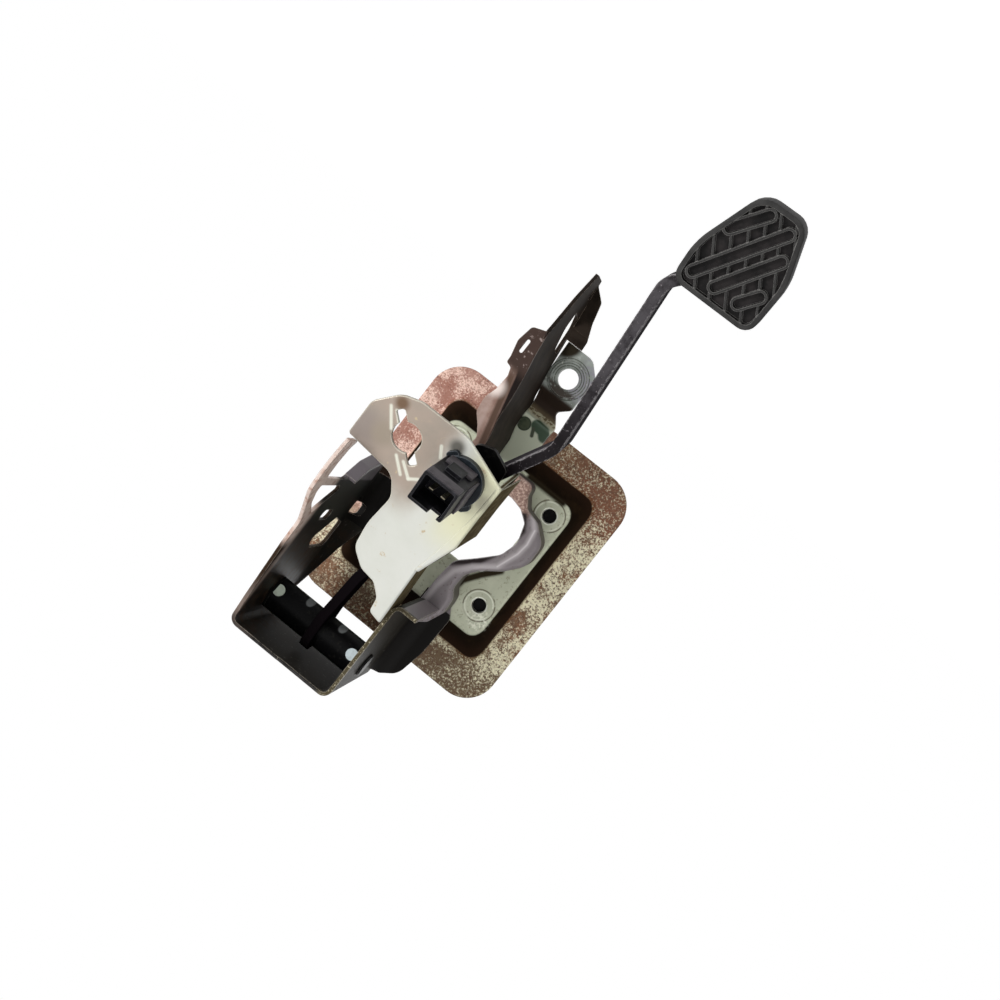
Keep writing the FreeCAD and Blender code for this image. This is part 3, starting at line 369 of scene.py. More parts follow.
def bracket_steel():
    """Dark coating, nearly black inside, with a pale rail and rust in places."""
    f = Finish("bracket_steel", (0.0050, 0.0042, 0.0036), roughness=0.5, gloss=0.08)
    inside = f.both(f.within(f.x, *CHANNEL_X, 0.4), f.within(f.z, *CHANNEL_Z, 0.4))
    f.lay(inside, (0.020, 0.018, 0.015), 0.5, 0.03)
    f.lay(f.both(inside, f.patches(420, 0.14, 0.03, 2.0)), (0.10, 0.095, 0.085), 0.5)
    top = f.above(f.z, WEB_TOP, 0.4)
    f.lay(f.both(top, f.patches(90, 0.6, 0.2)), (0.014, 0.012, 0.011), 0.45, 0.3)
    outside = f.above(f.x, FAR_WALL_X)
    f.lay(f.both(outside, f.patches(55, 0.5, 0.12)), (0.030, 0.018, 0.011), 0.55)
    far_high = f.both(f.above(f.x, 50, 8), f.above(f.z, 55, 25))
    f.lay(f.both(far_high, f.patches(160, 0.4, 0.12)), (0.034, 0.021, 0.013), 0.6)
    lip = f.both(f.below(f.x, LIP_X, 0.6), f.above(f.y, LIP_Y, 0.4), f.below(f.z, LIP_Z, 0.4))
    f.lay(lip, (0.150, 0.130, 0.137), 0.4, 0.3)
    strip = f.both(f.below(f.x, -2, 4), f.below(f.y, LIP_Y - 0.3, 1.0))
    f.lay(strip, (0.070, 0.058, 0.034), 0.4)
    f.lay(f.both(strip, f.patches(700, 0.26, 0.06)), (0.60, 0.54, 0.38), 0.35)
    low_edge = f.both(f.below(f.z, LOW_EDGE_TOP, 2), f.within(f.x, *LOW_EDGE_X),
                      f.within(f.y, *LOW_EDGE_Y, 4))
    f.lay(low_edge, (0.13, 0.115, 0.125), 0.35)
    rail = f.both(f.below(f.y, RAIL_REAR, 14), f.above(f.x, 50, 8))
    f.lay(rail, (0.60, 0.48, 0.42), 0.5, 0.3)
    pale = f.both(rail, f.below(f.z, RAIL_DARK - 2, 14), f.above(f.x, RAIL_X, 0.4))
    f.lay(pale, (0.66, 0.55, 0.50), 0.5)
    f.lay(f.both(rail, f.patches(220, 0.30, 0.12)), (0.36, 0.21, 0.155), 0.6)
    f.lay(f.both(rail, f.above(f.z, RAIL_DARK, 10)), (0.035, 0.022, 0.015), 0.6, 0.0)
    f.wear((0.50, 0.45, 0.37), amount=0.75, cover=0.65)
    return f.done(bump=0.12)


# Switch plate, in the lever's frame: marks as (middle, radius, colour), of which the one at (14.5,
# -170.2) is a painted shadow by the socket's ear, and painted highlights on pressed welts as lines
STAINS_AND_SHADOW = (((65.0, -144.0), 12.0, (0.24, 0.20, 0.175)), ((52.4, -149.1), 7.0, (0.27, 0.225, 0.175)),
          ((53.0, -170.5), 4.0, (0.13, 0.075, 0.04)), ((14.5, -170.2), 4.5, (0.10, 0.095, 0.08)),
          ((-15.0, -153.5), 4.5, (0.40, 0.385, 0.28)))
WELT_HIGHLIGHTS = (((57.5, -165.2), (50.5, -154.4)), ((53.3, -165.0), (48.9, -160.3)),
         ((39.8, -143.6), (32.0, -135.9)), ((21.9, -164.9), (18.8, -159.1)),
         ((34.5, -143.2), (26.9, -136.8)), ((26.9, -136.8), (22.2, -140.3)))
CREAM_SIDE, BEIGE_SIDE, PLATE_BACK = 2, 17, -36.9


# Trails along the curl of the stay as (x, z): its painted highlight, and the painted shade along
# its edge
CURL_HIGHLIGHT = ((-32.1, -33.0), (-38.8, -26.0), (-40.4, -16.2), (-39.4, -8.0), (-34.3, 6.0),
          (-22.1, 15.7), (-14.7, 25.3), (-11.7, 39.0), (-11.3, 54.3))
SHADED = ((-9.6, 22.0), (-23.4, 10.0), (-31.3, -6.0), (-32.7, -21.2), (-28.0, -29.0))
STAY_END_X, STAY_END_Z, STAY_FOOT_Y = -30, -28, -40


def stay_steel():
    """Grey-purple coating with a painted highlight and painted shade along the curl, and a rusty
    low end.
    """
    f = Finish("stay_steel", (0.165, 0.143, 0.150), roughness=0.38, metallic=0.15, gloss=0.35,
               edge_width=0.0016)
    f.lay(f.patches(40, 0.4, 0.2), (0.225, 0.20, 0.205))
    f.lay(f.patches(420, 0.22, 0.04), (0.10, 0.075, 0.07), 0.55)
    end = f.both(f.below(f.z, STAY_END_Z, 8), f.above(f.x, STAY_END_X, 6))
    f.lay(end, (0.21, 0.125, 0.098), 0.5)
    f.lay(f.both(end, f.patches(620, 0.42, 0.1)), (0.48, 0.35, 0.29), 0.45)
    f.lay(f.trail(f.x, f.z, SHADED, 2.2, 3.0), (0.020, 0.015, 0.015), 0.5, 0.05)
    # Painted highlight along the curl
    f.lay(f.trail(f.x, f.z, CURL_HIGHLIGHT, 1.6, 3.2), (0.36, 0.33, 0.335), 0.3)
    f.lay(f.trail(f.x, f.z, CURL_HIGHLIGHT[1:5], 0.2, 1.6), (0.62, 0.58, 0.59), 0.3)
    f.lay(f.above(f.y, STAY_FOOT_Y, 3), (0.05, 0.038, 0.034), 0.5)
    f.wear((0.66, 0.62, 0.62), amount=0.7, cover=0.8)
    return f.done(bump=0.1)


def switch_zinc():
    """Pale zinc, beige towards the rail, cream below, with an olive side flange, stains, a painted
    shadow and painted highlights on the welts.
    """
    f = Finish("switch_zinc", (0.60, 0.605, 0.56), roughness=0.36, metallic=0.2, edge_width=0.0015)
    f.lay(f.patches(30, 0.4, 0.2), (0.55, 0.56, 0.505))
    cream = f.both(f.below(f.across, CREAM_SIDE, 16), f.below(f.along, -120, 30))
    f.lay(cream, (0.62, 0.61, 0.43))
    beige = f.above(f.across, BEIGE_SIDE, 16)
    f.lay(f.both(beige, f.below(f.along, -122, 26)), (0.34, 0.275, 0.225), 0.36)
    f.lay(f.both(beige, f.below(f.along, -126, 20), f.patches(60, 0.4, 0.2)), (0.29, 0.25, 0.205))
    f.lay(f.patches(170, 0.10, 0.04, 1.0), (0.46, 0.37, 0.24), 0.5)
    # Stains, and one painted shadow by the socket's ear
    for middle, size, colour in STAINS_AND_SHADOW:
        f.lay(f.spot(f.across, f.along, middle, size, 1.2 * size), colour, 0.45)
    # Painted highlights on the pressed welts
    for start, end in WELT_HIGHLIGHTS:
        f.lay(f.trail(f.across, f.along, (start, end), 0.7, 1.9), (0.76, 0.77, 0.66), 0.25)
    flange = f.above(f.deep, PLATE_BACK)
    f.lay(flange, (0.062, 0.047, 0.024), 0.7, 0.0)
    f.lay(f.both(flange, f.patches(160, 0.45, 0.15)), (0.095, 0.075, 0.038), 0.5)
    f.wear((0.86, 0.85, 0.70), amount=0.7, cover=0.8, roughness=0.3)
    return f.done(bump=0.08)


# Wavy flange of the inner stay: its face, the height where its tip starts, the painted highlight on
# its bulge as (x, z), and the slanted line where its curl starts
WAVE_FACE, TIP_HEIGHT, WAVE_HIGHLIGHT, CURL_START = -106.8, -97, (26.5, -83.0), -2.4


def inner_steel():
    """Brown-black coating, pink and worn on the wavy flange, with a painted highlight on its bulge.
    """
    f = Finish("inner_steel", (0.011, 0.0080, 0.0060), roughness=0.6, gloss=0.03)
    f.lay(f.patches(60, 0.45, 0.15), (0.022, 0.016, 0.012))
    flange = f.both(f.below(f.y, WAVE_FACE, 0.4), f.above(f.z, TIP_HEIGHT, 10))
    f.lay(flange, (0.014, 0.010, 0.009), 0.4)
    slant = maths(f.tree, "ADD", f.x, maths(f.tree, "MULTIPLY", f.z, 0.25))
    curl = f.both(flange, f.above(slant, CURL_START, 2.0))
    f.lay(curl, (0.25, 0.155, 0.125), 0.5)
    f.lay(f.both(curl, f.patches(200, 0.4, 0.2)), (0.36, 0.25, 0.21), 0.45)
    f.lay(f.both(curl, f.above(slant, 4.0, 3.0), f.patches(120, 0.6, 0.2)), (0.42, 0.31, 0.27))
    f.lay(f.both(flange, f.within(slant, CURL_START, 1.6, 2.0)), (0.10, 0.062, 0.046), 0.5)
    # Painted highlight on the bulge of the curl
    f.lay(f.both(curl, f.spot(f.x, f.z, WAVE_HIGHLIGHT, 5.0, 7.0)), (0.80, 0.70, 0.65), 0.4)
    tip = f.both(f.below(f.y, WAVE_FACE, 0.4), f.below(f.z, TIP_HEIGHT, 10))
    f.lay(tip, (0.055, 0.036, 0.030), 0.35)
    f.lay(f.both(tip, f.patches(300, 0.2, 0.05)), (0.30, 0.24, 0.22), 0.3)
    f.wear((0.42, 0.34, 0.27), amount=0.7)
    return f.done(bump=0.15)


# Places on the ear bracket as (x, z): hole, shaded corner, and spilt paint in three parts
EAR_HOLE, EAR_CORNER = (5.8, -112.5), (20.3, -131.0)
COLLAR_RINGS = (8.6, 10.2, 11.8, 13.4)
PAINT_DROP, PAINT_STROKE = (10.4, -73.2), ((3.6, -74.0), (1.8, -70.0))
PAINT_RUN = ((3.2, -77.2), (-2.5, -76.6), (-5.0, -74.0))
# Heights where the strap above the ear turns dark, olive and pale, and the rubbed band between
EAR_TOP, STRAP_OLIVE, STRAP_PALE, RUBBED_BAND = -100, -86, -81.5, (-84.5, -80.5)


def ear_zinc():
    """Grey zinc, lilac on the right of the hole, green on the panel, with a spot of paint."""
    f = Finish("ear_zinc", (0.23, 0.25, 0.225), roughness=0.42, metallic=0.2, edge_width=0.001)
    f.lay(f.both(f.below(f.x, 2, 9), f.below(f.z, -104, 4)), (0.33, 0.32, 0.36))
    f.lay(f.patches(160, 0.4, 0.1), (0.33, 0.36, 0.33))
    from_hole = f.distance(f.x, f.z, EAR_HOLE)
    for radius in COLLAR_RINGS:
        f.lay(f.both(f.within(from_hole, radius - 0.3, radius + 0.3, 0.4), f.patches(120, 0.75)),
              (0.07, 0.08, 0.06), 0.5)
    f.lay(f.both(f.below(from_hole, 13, 2), f.above(f.z, -106, 3), f.patches(150, 0.6)),
          (0.045, 0.035, 0.025), 0.5)
    f.lay(f.patches(500, 0.16, 0.04), (0.62, 0.64, 0.58), 0.3)
    f.lay(f.spot(f.x, f.z, EAR_CORNER, 10.0, 4.0), (0.022, 0.018, 0.012), 0.6, 0.0)
    f.lay(f.above(f.z, EAR_TOP, 3), (0.032, 0.021, 0.015), 0.6, 0.1)
    f.lay(f.above(f.z, STRAP_OLIVE, 6), (0.17, 0.13, 0.075), 0.5)
    f.lay(f.above(f.z, STRAP_PALE, 2), (0.48, 0.51, 0.39), 0.3, 0.5)
    f.lay(f.both(f.within(f.z, *RUBBED_BAND), f.patches(400, 0.5)), (0.50, 0.47, 0.33), 0.4)
    f.lay(f.spot(f.x, f.z, PAINT_DROP, 4.6, 0.6), (0.020, 0.030, 0.012), 0.3)
    thin = f.both(f.spot(f.x, f.z, PAINT_DROP, 3.7, 0.8), f.patches(200, 0.6, 0.1))
    f.lay(thin, (0.050, 0.065, 0.030), 0.3)
    run = f.trail(f.x, f.z, PAINT_RUN, 3.8, 1.6)
    f.lay(f.both(run, f.patches(150, 0.9, 0.1, 6.0)), (0.022, 0.050, 0.022), 0.3)
    f.lay(f.trail(f.x, f.z, PAINT_STROKE, 1.2, 1.0), (0.035, 0.045, 0.022), 0.3)
    f.wear((0.72, 0.74, 0.68), amount=0.6)
    return f.done(bump=0.2)


# Pedal arm: its coating, the depths of its front face and of the rubbed strip beside it with
# painted highlight specks, and the places along it where it turns black, grey, and grey with
# painted sheen on its front face
ARM_BLACK, ARM_FRONT, RUBBED_AND_LIT_STRIP = (0.0060, 0.0045, 0.0055), -13.2, -6.5
BLACK_ABOVE, GREY_BELOW, SHEEN_BELOW = -100, -160, -230


def arm_steel():
    """Black coating, greyer on the low side, with rubbed edges, small specks, painted highlight
    specks on the side strip and painted sheen on the front near the pad.
    """
    f = Finish("arm_steel", ARM_BLACK, roughness=0.4, gloss=0.08, edge_width=0.0014)
    f.lay(f.patches(80, 0.4, 0.15), (0.014, 0.011, 0.013))
    side = f.above(f.deep, ARM_FRONT, 0.5)
    low = f.below(f.along, GREY_BELOW, 26)
    f.lay(side, (0.016, 0.013, 0.015), 0.7, 0.0)
    f.lay(f.both(side, low), (0.036, 0.033, 0.036))
    # Rubbed strip beside the front face, with pale specks of painted highlight
    strip = f.both(side, low, f.below(f.deep, RUBBED_AND_LIT_STRIP, 5.0))
    f.lay(strip, (0.075, 0.070, 0.076))
    f.lay(f.both(strip, f.patches(560, 0.44, 0.1)), (0.42, 0.40, 0.405), 0.5)
    # Painted sheen on the front face near the pad
    foot_end = f.both(f.below(f.deep, ARM_FRONT, 0.5), f.below(f.along, SHEEN_BELOW, 60))
    f.lay(f.both(foot_end, f.patches(120, 0.6, 0.15)), (0.060, 0.055, 0.060), 0.35)
    f.lay(f.both(f.patches(800, 0.13, 0.05), low), (0.20, 0.18, 0.19), 0.35)
    f.lay(f.above(f.along, BLACK_ABOVE, 30), ARM_BLACK, 0.6, 0.0)
    f.wear((0.52, 0.49, 0.50), amount=0.8, scale=520, cover=0.5, where=low)
    return f.done(bump=0.3, bump_scale=900)


# Painted glints on the hub tube as (x, z)
HUB_GLINTS = ((39.4, 90.6), (13.9, 90.6))


def black_steel():
    """Black coating, with two painted glints where the hub tube lies."""
    f = Finish("black_steel", (0.0030, 0.0030, 0.0032), roughness=0.4, gloss=0.06,
               edge_width=0.0008)
    f.lay(f.patches(300, 0.25, 0.06), (0.010, 0.0095, 0.0085), 0.45)
    for middle in HUB_GLINTS:
        f.lay(f.spot(f.x, f.z, middle, 2.6, 1.0), (0.19, 0.20, 0.20), 0.5)
    f.wear((0.22, 0.21, 0.19), amount=0.6)
    return f.done()


# Depths in the rubber pad: tops of the rings and ribs, and the floor between them
TOPS_END, FLOOR_END = -24.6, -23.2


def pad_rubber():
    """Worn rubber: grey on top of the rings and ribs, darker below them."""
    f = Finish("pad_rubber", (0.026, 0.0255, 0.025), roughness=0.55, gloss=0.1, edge_width=0.0007)
    f.lay(f.patches(120, 0.4, 0.15), (0.042, 0.041, 0.040))
    f.lay(f.above(f.deep, TOPS_END, 0.6), (0.0045, 0.0042, 0.0042))
    floor = f.above(f.deep, FLOOR_END, 0.6)
    f.lay(f.both(floor, f.patches(90, 0.5, 0.15)), (0.022, 0.019, 0.019))
    f.wear((0.26, 0.25, 0.24), amount=0.8, scale=320, cover=0.85, roughness=0.4)
    return f.done(bump=0.2, bump_scale=1400)


def housing_plastic():
    """Black plastic of the switch's socket."""
    f = Finish("housing_plastic", (0.0045, 0.0045, 0.0055), roughness=0.42, gloss=0.12,
               edge_width=0.0006)
    f.lay(f.patches(220, 0.3, 0.1), (0.020, 0.019, 0.023), 0.45)
    f.wear((0.13, 0.13, 0.14), amount=0.7, cover=0.8)
    return f.done(bump=0.1, bump_scale=1800)


def step_plastic():
    """Dusty grey plastic on the steps of the socket."""
    f = Finish("step_plastic", (0.060, 0.053, 0.058), roughness=0.5, gloss=0.2, edge_width=0.0006)
    f.lay(f.patches(260, 0.3, 0.15), (0.035, 0.031, 0.034))
    return f.done(bump=0.1, bump_scale=1800)


def holder_plastic():
    """Blue-black plastic of the quarter turn holder."""
    f = Finish("holder_plastic", (0.008, 0.011, 0.014), roughness=0.36, gloss=0.15,
               edge_width=0.0008)
    f.lay(f.patches(160, 0.35, 0.12), (0.016, 0.020, 0.025), 0.4)
    f.wear((0.20, 0.23, 0.26), amount=0.6, cover=0.8)
    return f.done(bump=0.1, bump_scale=1800)


BUSH_DARK_X = 60.6


def pale_nylon(name, colour):
    """Pale nylon, dark at the far wall."""
    f = Finish(name, colour, roughness=0.4, edge_width=0.0005)
    f.lay(f.patches(300, 0.3, 0.15), tuple(0.8 * c for c in colour))
    f.lay(f.above(f.x, BUSH_DARK_X, 0.4), (0.008, 0.008, 0.007), 0.6, 0.0)
    return f.done(bump=0.06)


def bare_metal(name, colour):
    """Dull metal with darker patches."""
    f = Finish(name, colour, roughness=0.35, metallic=0.7, edge_width=0.0006)
    f.lay(f.patches(260, 0.35, 0.12), tuple(0.6 * c for c in colour), 0.5)
    return f.done()


FINISHES = {
    "dash_plate": dash_zinc(), "pedal_bracket": bracket_steel(), "side_stay": stay_steel(),
    "switch_plate": switch_zinc(), "inner_stay": inner_steel(), "ear_bracket": ear_zinc(),
    "pedal_arm": arm_steel(), "switch_body": housing_plastic(), "switch_holder": holder_plastic(),
}
FINISHES["stud_collar"] = bare_metal("collar_steel", (0.42, 0.43, 0.36))
FINISHES["black"] = black_steel()
FINISHES["nylon"] = pale_nylon("nylon_green", (0.60, 0.68, 0.56))
FINISHES["nylon_cool"] = pale_nylon("nylon_blue", (0.66, 0.76, 0.78))
FINISHES["brass"] = bare_metal("terminal_brass", (0.20, 0.18, 0.13))
FINISHES["rubber"] = pad_rubber()
FINISHES["step"] = step_plastic()

SHARED = {
    "stud_collar_1": "stud_collar", "stud_collar_2": "stud_collar", "stud_collar_3": "stud_collar",
    "stud_collar_4": "stud_collar", "hub_tube": "black", "pivot_pin": "black",
    "bush_left": "nylon_cool", "bush_right": "nylon", "switch_tab": "black",
    "tab_bumper": "nylon_cool", "pad_plate": "black", "pedal_pad": "rubber",
    "terminal_1": "brass", "terminal_2": "brass", "switch_plunger": "nylon_cool",
}


def dress_nodes():
    """Give every node of the frame its own finish or a shared one."""
    for name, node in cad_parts.items():
        finish = FINISHES[SHARED.get(name, name)]
        for material_slot in node.material_slots:
            material_slot.material = finish


# New pieces

SHARP_ANGLE = radians(40)


def make_piece(name, bm, place, finish, body):
    """Mesh object at the origin, with the place in its mesh, on its body."""
    bm.transform(place)
    bmesh.ops.recalc_face_normals(bm, faces=bm.faces)
    mesh = bpy.data.meshes.new(name)
    bm.to_mesh(mesh)
    bm.free()
    mesh.materials.append(finish)
    mesh.shade_smooth()
    mesh.set_sharp_from_angle(angle=SHARP_ANGLE)
    piece = bpy.data.objects.new(name, mesh)
    bpy.context.scene.collection.objects.link(piece)
    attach(piece, body)
    return piece


def rounded_face(bm, corners, depth):
    """First face of a shell, at a depth y; corners are (u, v, reach), each rounded by its reach."""
    verts = [bm.verts.new((u, depth, v)) for u, v, _ in corners]
    bm.faces.new(verts)
    for vert, (_, _, reach) in zip(verts, corners):
        bmesh.ops.bevel(bm, geom=[vert], offset=reach, segments=5, profile=0.5,
                        affect="VERTICES", material=-1)
    bm.faces.ensure_lookup_table()
    return bm.faces[0]


def add_shell(bm, shell):
    """Put a finished shell into the piece that it belongs to."""
    mesh = bpy.data.meshes.new("shell")
    shell.to_mesh(mesh)
    shell.free()
    bm.from_mesh(mesh)
    bpy.data.meshes.remove(mesh)


def raise_face(bm, face, depth):
    """Extrude a face to a depth y, and return the moved face."""
    out = bmesh.ops.extrude_face_region(bm, geom=[face])
    moved = next(item for item in out["geom"] if isinstance(item, bmesh.types.BMFace))
    bm.faces.remove(face)
    for vert in moved.verts:
        vert.co.y = depth
    return moved


INSET_SLOPE = 0.3


def inset_face(bm, face, width, depth):
    """Frame of even width inside a face; the middle goes to a depth y over a short slope."""
    for thickness in (width, INSET_SLOPE):
        bmesh.ops.inset_region(bm, faces=[face], thickness=thickness, use_even_offset=True)
    for vert in face.verts:
        vert.co.y = depth


# Rubber pad, in the lever's frame with the pad's middle as origin: depths, corners as
# (across, along, reach), rings as the two ends of each, and ribs as offsets from the middle

PAD_PLACE = LEVER @ Matrix.Translation((-47.9, 0, -342.6))
PAD_BACK, PAD_FACE, PAD_FLOOR, RIB_TOP, RING_TOP = -13.6, -25.6, -22.8, -25.0, -25.4
PAD_CORNERS = ((24.6, 30.6, 7.0), (25.5, 7.9, 7.0), (11.8, -30.6, 8.0), (-15.2, -31.2, 7.0),
               (-25.6, 0.0, 6.0), (-24.4, 30.2, 7.0))
RIM_WIDTH, PAD_EDGE, LAP = 2.8, 0.7, 0.1
RINGS = (((17.6, -4.2), (0.6, -27.0)), ((19.6, 24.4), (-12.4, -25.0)),
         ((5.8, 24.2), (-17.6, -12.4)), ((-8.4, 23.6), (-19.8, 8.0)))
RING_HALF, RING_WALL, RING_ROUND = 3.8, 1.3, 0.97
RIB_WAY, RIB_SIDE = Vector((0.53, -0.85)), Vector((0.85, 0.53))
RIB_OFFSETS = (32.3, 24.5, 16.7, 8.2, -0.2, -8.2, -15.6, -23.7, -31.7)
RIB_WIDTH, RIB_EDGE, RIB_OVERLAP, RIB_SHORTEST = 1.4, 0.35, 0.3, 1.5
RIB_STEP, RIB_STEPS = 0.25, range(-160, 161)


def inside_rim(point):
    """Whether a point of the pad's face lies inside its rim."""
    corners = [Vector(corner[:2]) for corner in PAD_CORNERS]
    for start, end in zip(corners, corners[1:] + corners[:1]):
        way = (end - start).normalized()
        if way.cross(point - start) > -RIM_WIDTH + RIB_OVERLAP:
            return False
    return True


def beside_rings(point):
    """Whether a point lies outside all the rings."""
    for start, end in RINGS:
        start, end = Vector(start), Vector(end)
        way = (end - start).normalized()
        run = (end - start).length - RING_HALF
        along = min(max((point - start).dot(way), RING_HALF), run)
        if (point - start - way * along).length < RING_HALF - RIB_OVERLAP:
            return False
    return True


def rib_runs(offset):
    """Parts of one rib's line that lie inside the rim and beside the rings."""
    runs, start = [], None
    for number in RIB_STEPS:
        reach = number * RIB_STEP
        point = RIB_SIDE * offset + RIB_WAY * reach
        free = inside_rim(point) and beside_rings(point)
        if free and start is None:
            start = reach
        if not free and start is not None:
            if reach - start > RIB_SHORTEST:
                runs.append((start, reach))
            start = None
    return runs


def add_ribs(bm):
    """Slanted ribs that rise from the pad's floor."""
    for offset in RIB_OFFSETS:
        for start, end in rib_runs(offset):
            corners = [RIB_SIDE * (offset + side * RIB_WIDTH / 2) + RIB_WAY * reach
                       for side, reach in ((-1, start), (1, start), (1, end), (-1, end))]
            face = bm.faces.new([bm.verts.new((c.x, PAD_FLOOR + LAP, c.y)) for c in corners])
            top = raise_face(bm, face, RIB_TOP)
            bmesh.ops.bevel(bm, geom=list(top.edges), offset=RIB_EDGE, segments=2, profile=0.5,
                            affect="EDGES", material=-1)


def add_rings(bm):
    """Long rings with a thin wall and a hollow middle."""
    for start, end in RINGS:
        start, end = Vector(start), Vector(end)
        side = Vector((end.y - start.y, start.x - end.x)).normalized() * RING_HALF
        corners = [(*corner, RING_HALF * RING_ROUND)
                   for corner in (start + side, end + side, end - side, start - side)]
        ring = bmesh.new()
        top = raise_face(ring, rounded_face(ring, corners, PAD_FLOOR + LAP), RING_TOP)
        inset_face(ring, top, RING_WALL, PAD_FLOOR - LAP)
        add_shell(bm, ring)


def make_pad():
    """Pad with a raised rim, four long rings and slanted ribs between them."""
    bm = bmesh.new()
    top = raise_face(bm, rounded_face(bm, PAD_CORNERS, PAD_BACK), PAD_FACE)
    rim = list(top.edges)
    inset_face(bm, top, RIM_WIDTH, PAD_FLOOR)
    bmesh.ops.bevel(bm, geom=rim, offset=PAD_EDGE, segments=3, profile=0.5, affect="EDGES",
                    material=-1)
    add_rings(bm)
    add_ribs(bm)
    pad = make_piece("pad_face", bm, PAD_PLACE, FINISHES["rubber"], "pedal")
    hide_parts("pedal_pad")


# Dark discs, one in each collar, that stand for the shade inside the stud holes: steps are (width,
# rise)

SHADE_DISC_RADIUS, SHADE_DISC_DEPTH, SHADE_DISC_WALL = 4.65, -9.0, 0.8
SHADE_DISC_STEPS = ((0.8, 0.5), (1.2, 0.5), (0.9, 1.0))
SHADE_DISC_PLACES = ((-STUD_X, -STUD_Z), (-STUD_X, STUD_Z), (STUD_X, -STUD_Z), (STUD_X, STUD_Z))


def make_stud_shade_discs():
    """Round dark caps for the shade in the stud holes, rising to the middle in three steps."""
    for number, (x, z) in enumerate(SHADE_DISC_PLACES, start=1):
        bm = bmesh.new()
        bmesh.ops.create_circle(bm, cap_ends=True, segments=28, radius=SHADE_DISC_RADIUS)
        bm.faces.ensure_lookup_table()
        middle = bm.faces[0]
        for width, rise in SHADE_DISC_STEPS:
            bmesh.ops.inset_region(bm, faces=[middle], thickness=width, depth=rise)
        bmesh.ops.solidify(bm, geom=list(bm.faces), thickness=SHADE_DISC_WALL)
        place = (CAR @ Matrix.Translation((x, SHADE_DISC_DEPTH, z))
                 @ Matrix.Rotation(radians(90), 4, "X"))
        make_piece(f"stud_shade_disc_{number}", bm, place, FINISHES["black"], "bracket")


# Edge strip of the switch plate, in the lever's frame: rows of (across, along) and their depths

FLANGE_EDGE = ((-18.6, -165.8), (-17.4, -143.0), (-16.9, -121.0), (-7.6, -95.0))
FLANGE_ROOT = ((-16.0, -165.8), (-14.6, -143.0), (-11.0, -121.0), (-5.4, -95.0))
FLANGE_FACE, FLANGE_DEEP, FLANGE_FLARE = -38.66, -10.0, -2.6
FLANGE_BEND, FLANGE_SHEET = 1.3, 0.8


def extrude_row(bm, edges, before, after):
    """Extrude the edges of one row of points to the next row, and return the edges there."""
    out = bmesh.ops.extrude_edge_only(bm, edges=edges)["geom"]
    for vert in (item for item in out if isinstance(item, bmesh.types.BMVert)):
        place = min(range(len(before)), key=lambda i: (before[i] - vert.co).length)
        vert.co = after[place]
    moved = [item for item in out if isinstance(item, bmesh.types.BMEdge)]
    return [edge for edge in moved if all(vert.co in after for vert in edge.verts)]


def make_flange():
    """Edge strip on the plate's face that turns down over a bend and flares outwards."""
    root = [Vector((x, FLANGE_FACE, v)) for x, v in FLANGE_ROOT]
    edge = [Vector((x, FLANGE_FACE, v)) for x, v in FLANGE_EDGE]
    low = [Vector((x + FLANGE_FLARE, FLANGE_DEEP, v)) for x, v in FLANGE_EDGE]
    bm = bmesh.new()
    line = [bm.verts.new(point) for point in root]
    bend = extrude_row(bm, [bm.edges.new(pair) for pair in zip(line, line[1:])], root, edge)
    extrude_row(bm, bend, edge, low)
    bmesh.ops.bevel(bm, geom=bend, offset=FLANGE_BEND, segments=4, profile=0.5, affect="EDGES",
                    material=-1)
    bmesh.ops.recalc_face_normals(bm, faces=bm.faces)
    bmesh.ops.solidify(bm, geom=list(bm.faces), thickness=FLANGE_SHEET)
    make_piece("switch_plate_edge", bm, LEVER, FINISHES["switch_plate"], "bracket")


# Steps on the socket, in the lever's frame: (left, right, low, high, back, front)

SOCKET_STEPS = ((-6.0, 15.4, -166.5, -165.0, -67.4, -74.6),
                (-4.0, 13.4, -167.3, -165.0, -43.0, -52.0),
                (-7.7, -6.3, -164.2, -147.4, -44.0, -60.0))
STEP_ROUND, STEP_EDGE = 0.3, 0.4


def make_socket_steps():
    """Raised steps on two sides of the switch's socket."""
    bm = bmesh.new()
    for left, right, low, high, back, front in SOCKET_STEPS:
        step = bmesh.new()
        corners = [(u, v, STEP_ROUND)
                   for u, v in ((left, low), (right, low), (right, high), (left, high))]
        top = raise_face(step, rounded_face(step, corners, back), front)
        bmesh.ops.bevel(step, geom=list(top.edges), offset=STEP_EDGE, segments=2, profile=0.5,
                        affect="EDGES", material=-1)
        add_shell(bm, step)
    make_piece("socket_steps", bm, LEVER, FINISHES["step"], "bracket")


dress_nodes()
make_pad()
make_stud_shade_discs()
make_flange()
make_socket_steps()


# Stage, in metres: camera, lamps as (name, place, size, power), floor and white surroundings

CAMERA_PLACE = (-0.09742, -0.96903, -0.10631)
CAMERA_RIGHT, CAMERA_UP = (-0.7787, 0.1261, -0.6146), (0.6204, 0.0082, -0.7843)
CAMERA_BACK = (-0.0939, -0.992, -0.0846)
LAMP_TARGET = Vector((0, -0.06, 0))
LAMPS = (("key", (0.9, -1.0, 0.1), 0.5, 13), ("fill", (-0.5, -1.2, 0.5), 1.2, 6),
         ("back_light", (0.2, 1.0, 0.6), 1.0, 6))
WORLD_LIGHT = 0.42
FLOOR_HALF, FLOOR_HEIGHT, FLOOR_GLOW = 30, -0.8, 0.6


def make_camera():
    """Camera at the photograph's viewpoint."""
    data = bpy.data.cameras.new("camera")
    data.lens, data.sensor_width = 54.0, 36.0
    camera = bpy.data.objects.new("camera", data)
    turn = Matrix((CAMERA_RIGHT, CAMERA_UP, CAMERA_BACK)).transposed().to_4x4()
    camera.matrix_world = Matrix.Translation(CAMERA_PLACE) @ turn
    bpy.context.scene.collection.objects.link(camera)
    bpy.context.scene.camera = camera


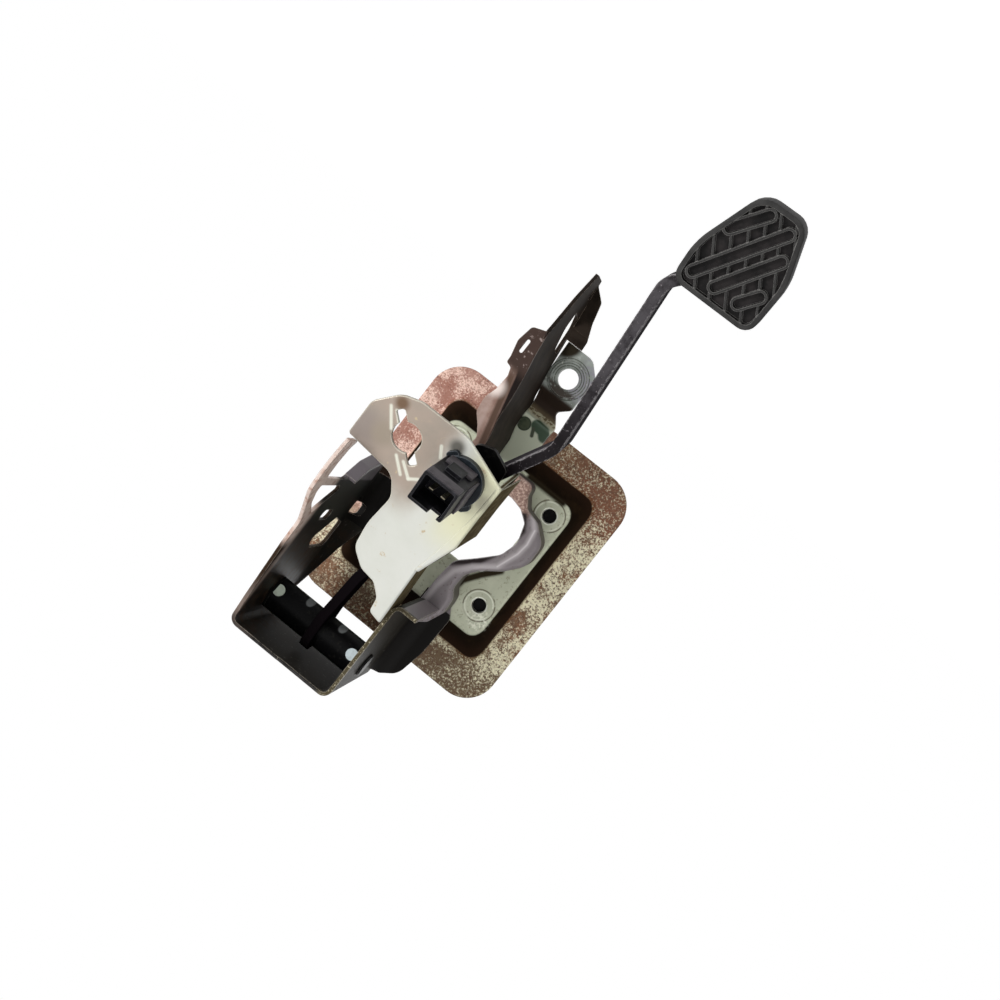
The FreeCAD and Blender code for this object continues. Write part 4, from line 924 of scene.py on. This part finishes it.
def make_lamp(name, place, size, power):
    """Square lamp that points at the part."""
    data = bpy.data.lights.new(name, "AREA")
    data.size, data.energy = size, power
    lamp = bpy.data.objects.new(name, data)
    lamp.location = place
    lamp.rotation_euler = (LAMP_TARGET - Vector(place)).to_track_quat("-Z", "Y").to_euler()
    bpy.context.scene.collection.objects.link(lamp)


def seen_directly(tree):
    """1 for what the camera, a gloss or glass sees, and 0 for the light on the object."""
    path = new_node(tree, "ShaderNodeLightPath")
    seen = maths(tree, "MAXIMUM", path.outputs["Is Camera Ray"], path.outputs["Is Glossy Ray"])
    return maths(tree, "MAXIMUM", seen, path.outputs["Is Transmission Ray"])


def make_world():
    """Surroundings that look white and light the part at a plain level."""
    world = bpy.data.worlds.new("surroundings")
    world.use_nodes = True
    tree = world.node_tree
    background = tree.nodes["Background"]
    background.inputs["Color"].default_value = (1, 1, 1, 1)
    strength = new_node(tree, "ShaderNodeMapRange", (("Value", seen_directly(tree)),
                                                     ("To Min", WORLD_LIGHT), ("To Max", 1.0)))
    tree.links.new(strength.outputs["Result"], background.inputs["Strength"])
    bpy.context.scene.world = world


def make_floor():
    """White floor, well below the part."""
    bm = bmesh.new()
    bmesh.ops.create_grid(bm, x_segments=1, y_segments=1, size=FLOOR_HALF)
    mesh = bpy.data.meshes.new("floor")
    bm.to_mesh(mesh)
    bm.free()
    floor = bpy.data.objects.new("floor", mesh)
    floor.location = (0, 0, FLOOR_HEIGHT)
    bpy.context.scene.collection.objects.link(floor)
    material = bpy.data.materials.new("floor_white")
    material.use_nodes = True
    tree = material.node_tree
    shader = tree.nodes["Principled BSDF"]
    shader.inputs["Base Color"].default_value = (0.85, 0.85, 0.85, 1)
    shader.inputs["Roughness"].default_value = 0.9
    shader.inputs["Emission Color"].default_value = (1, 1, 1, 1)
    tree.links.new(maths(tree, "MULTIPLY", seen_directly(tree), FLOOR_GLOW),
                   shader.inputs["Emission Strength"])
    mesh.materials.append(material)


make_camera()
make_world()
make_floor()
for lamp_values in LAMPS:
    make_lamp(*lamp_values)
bpy.context.scene.view_settings.view_transform = "Standard"
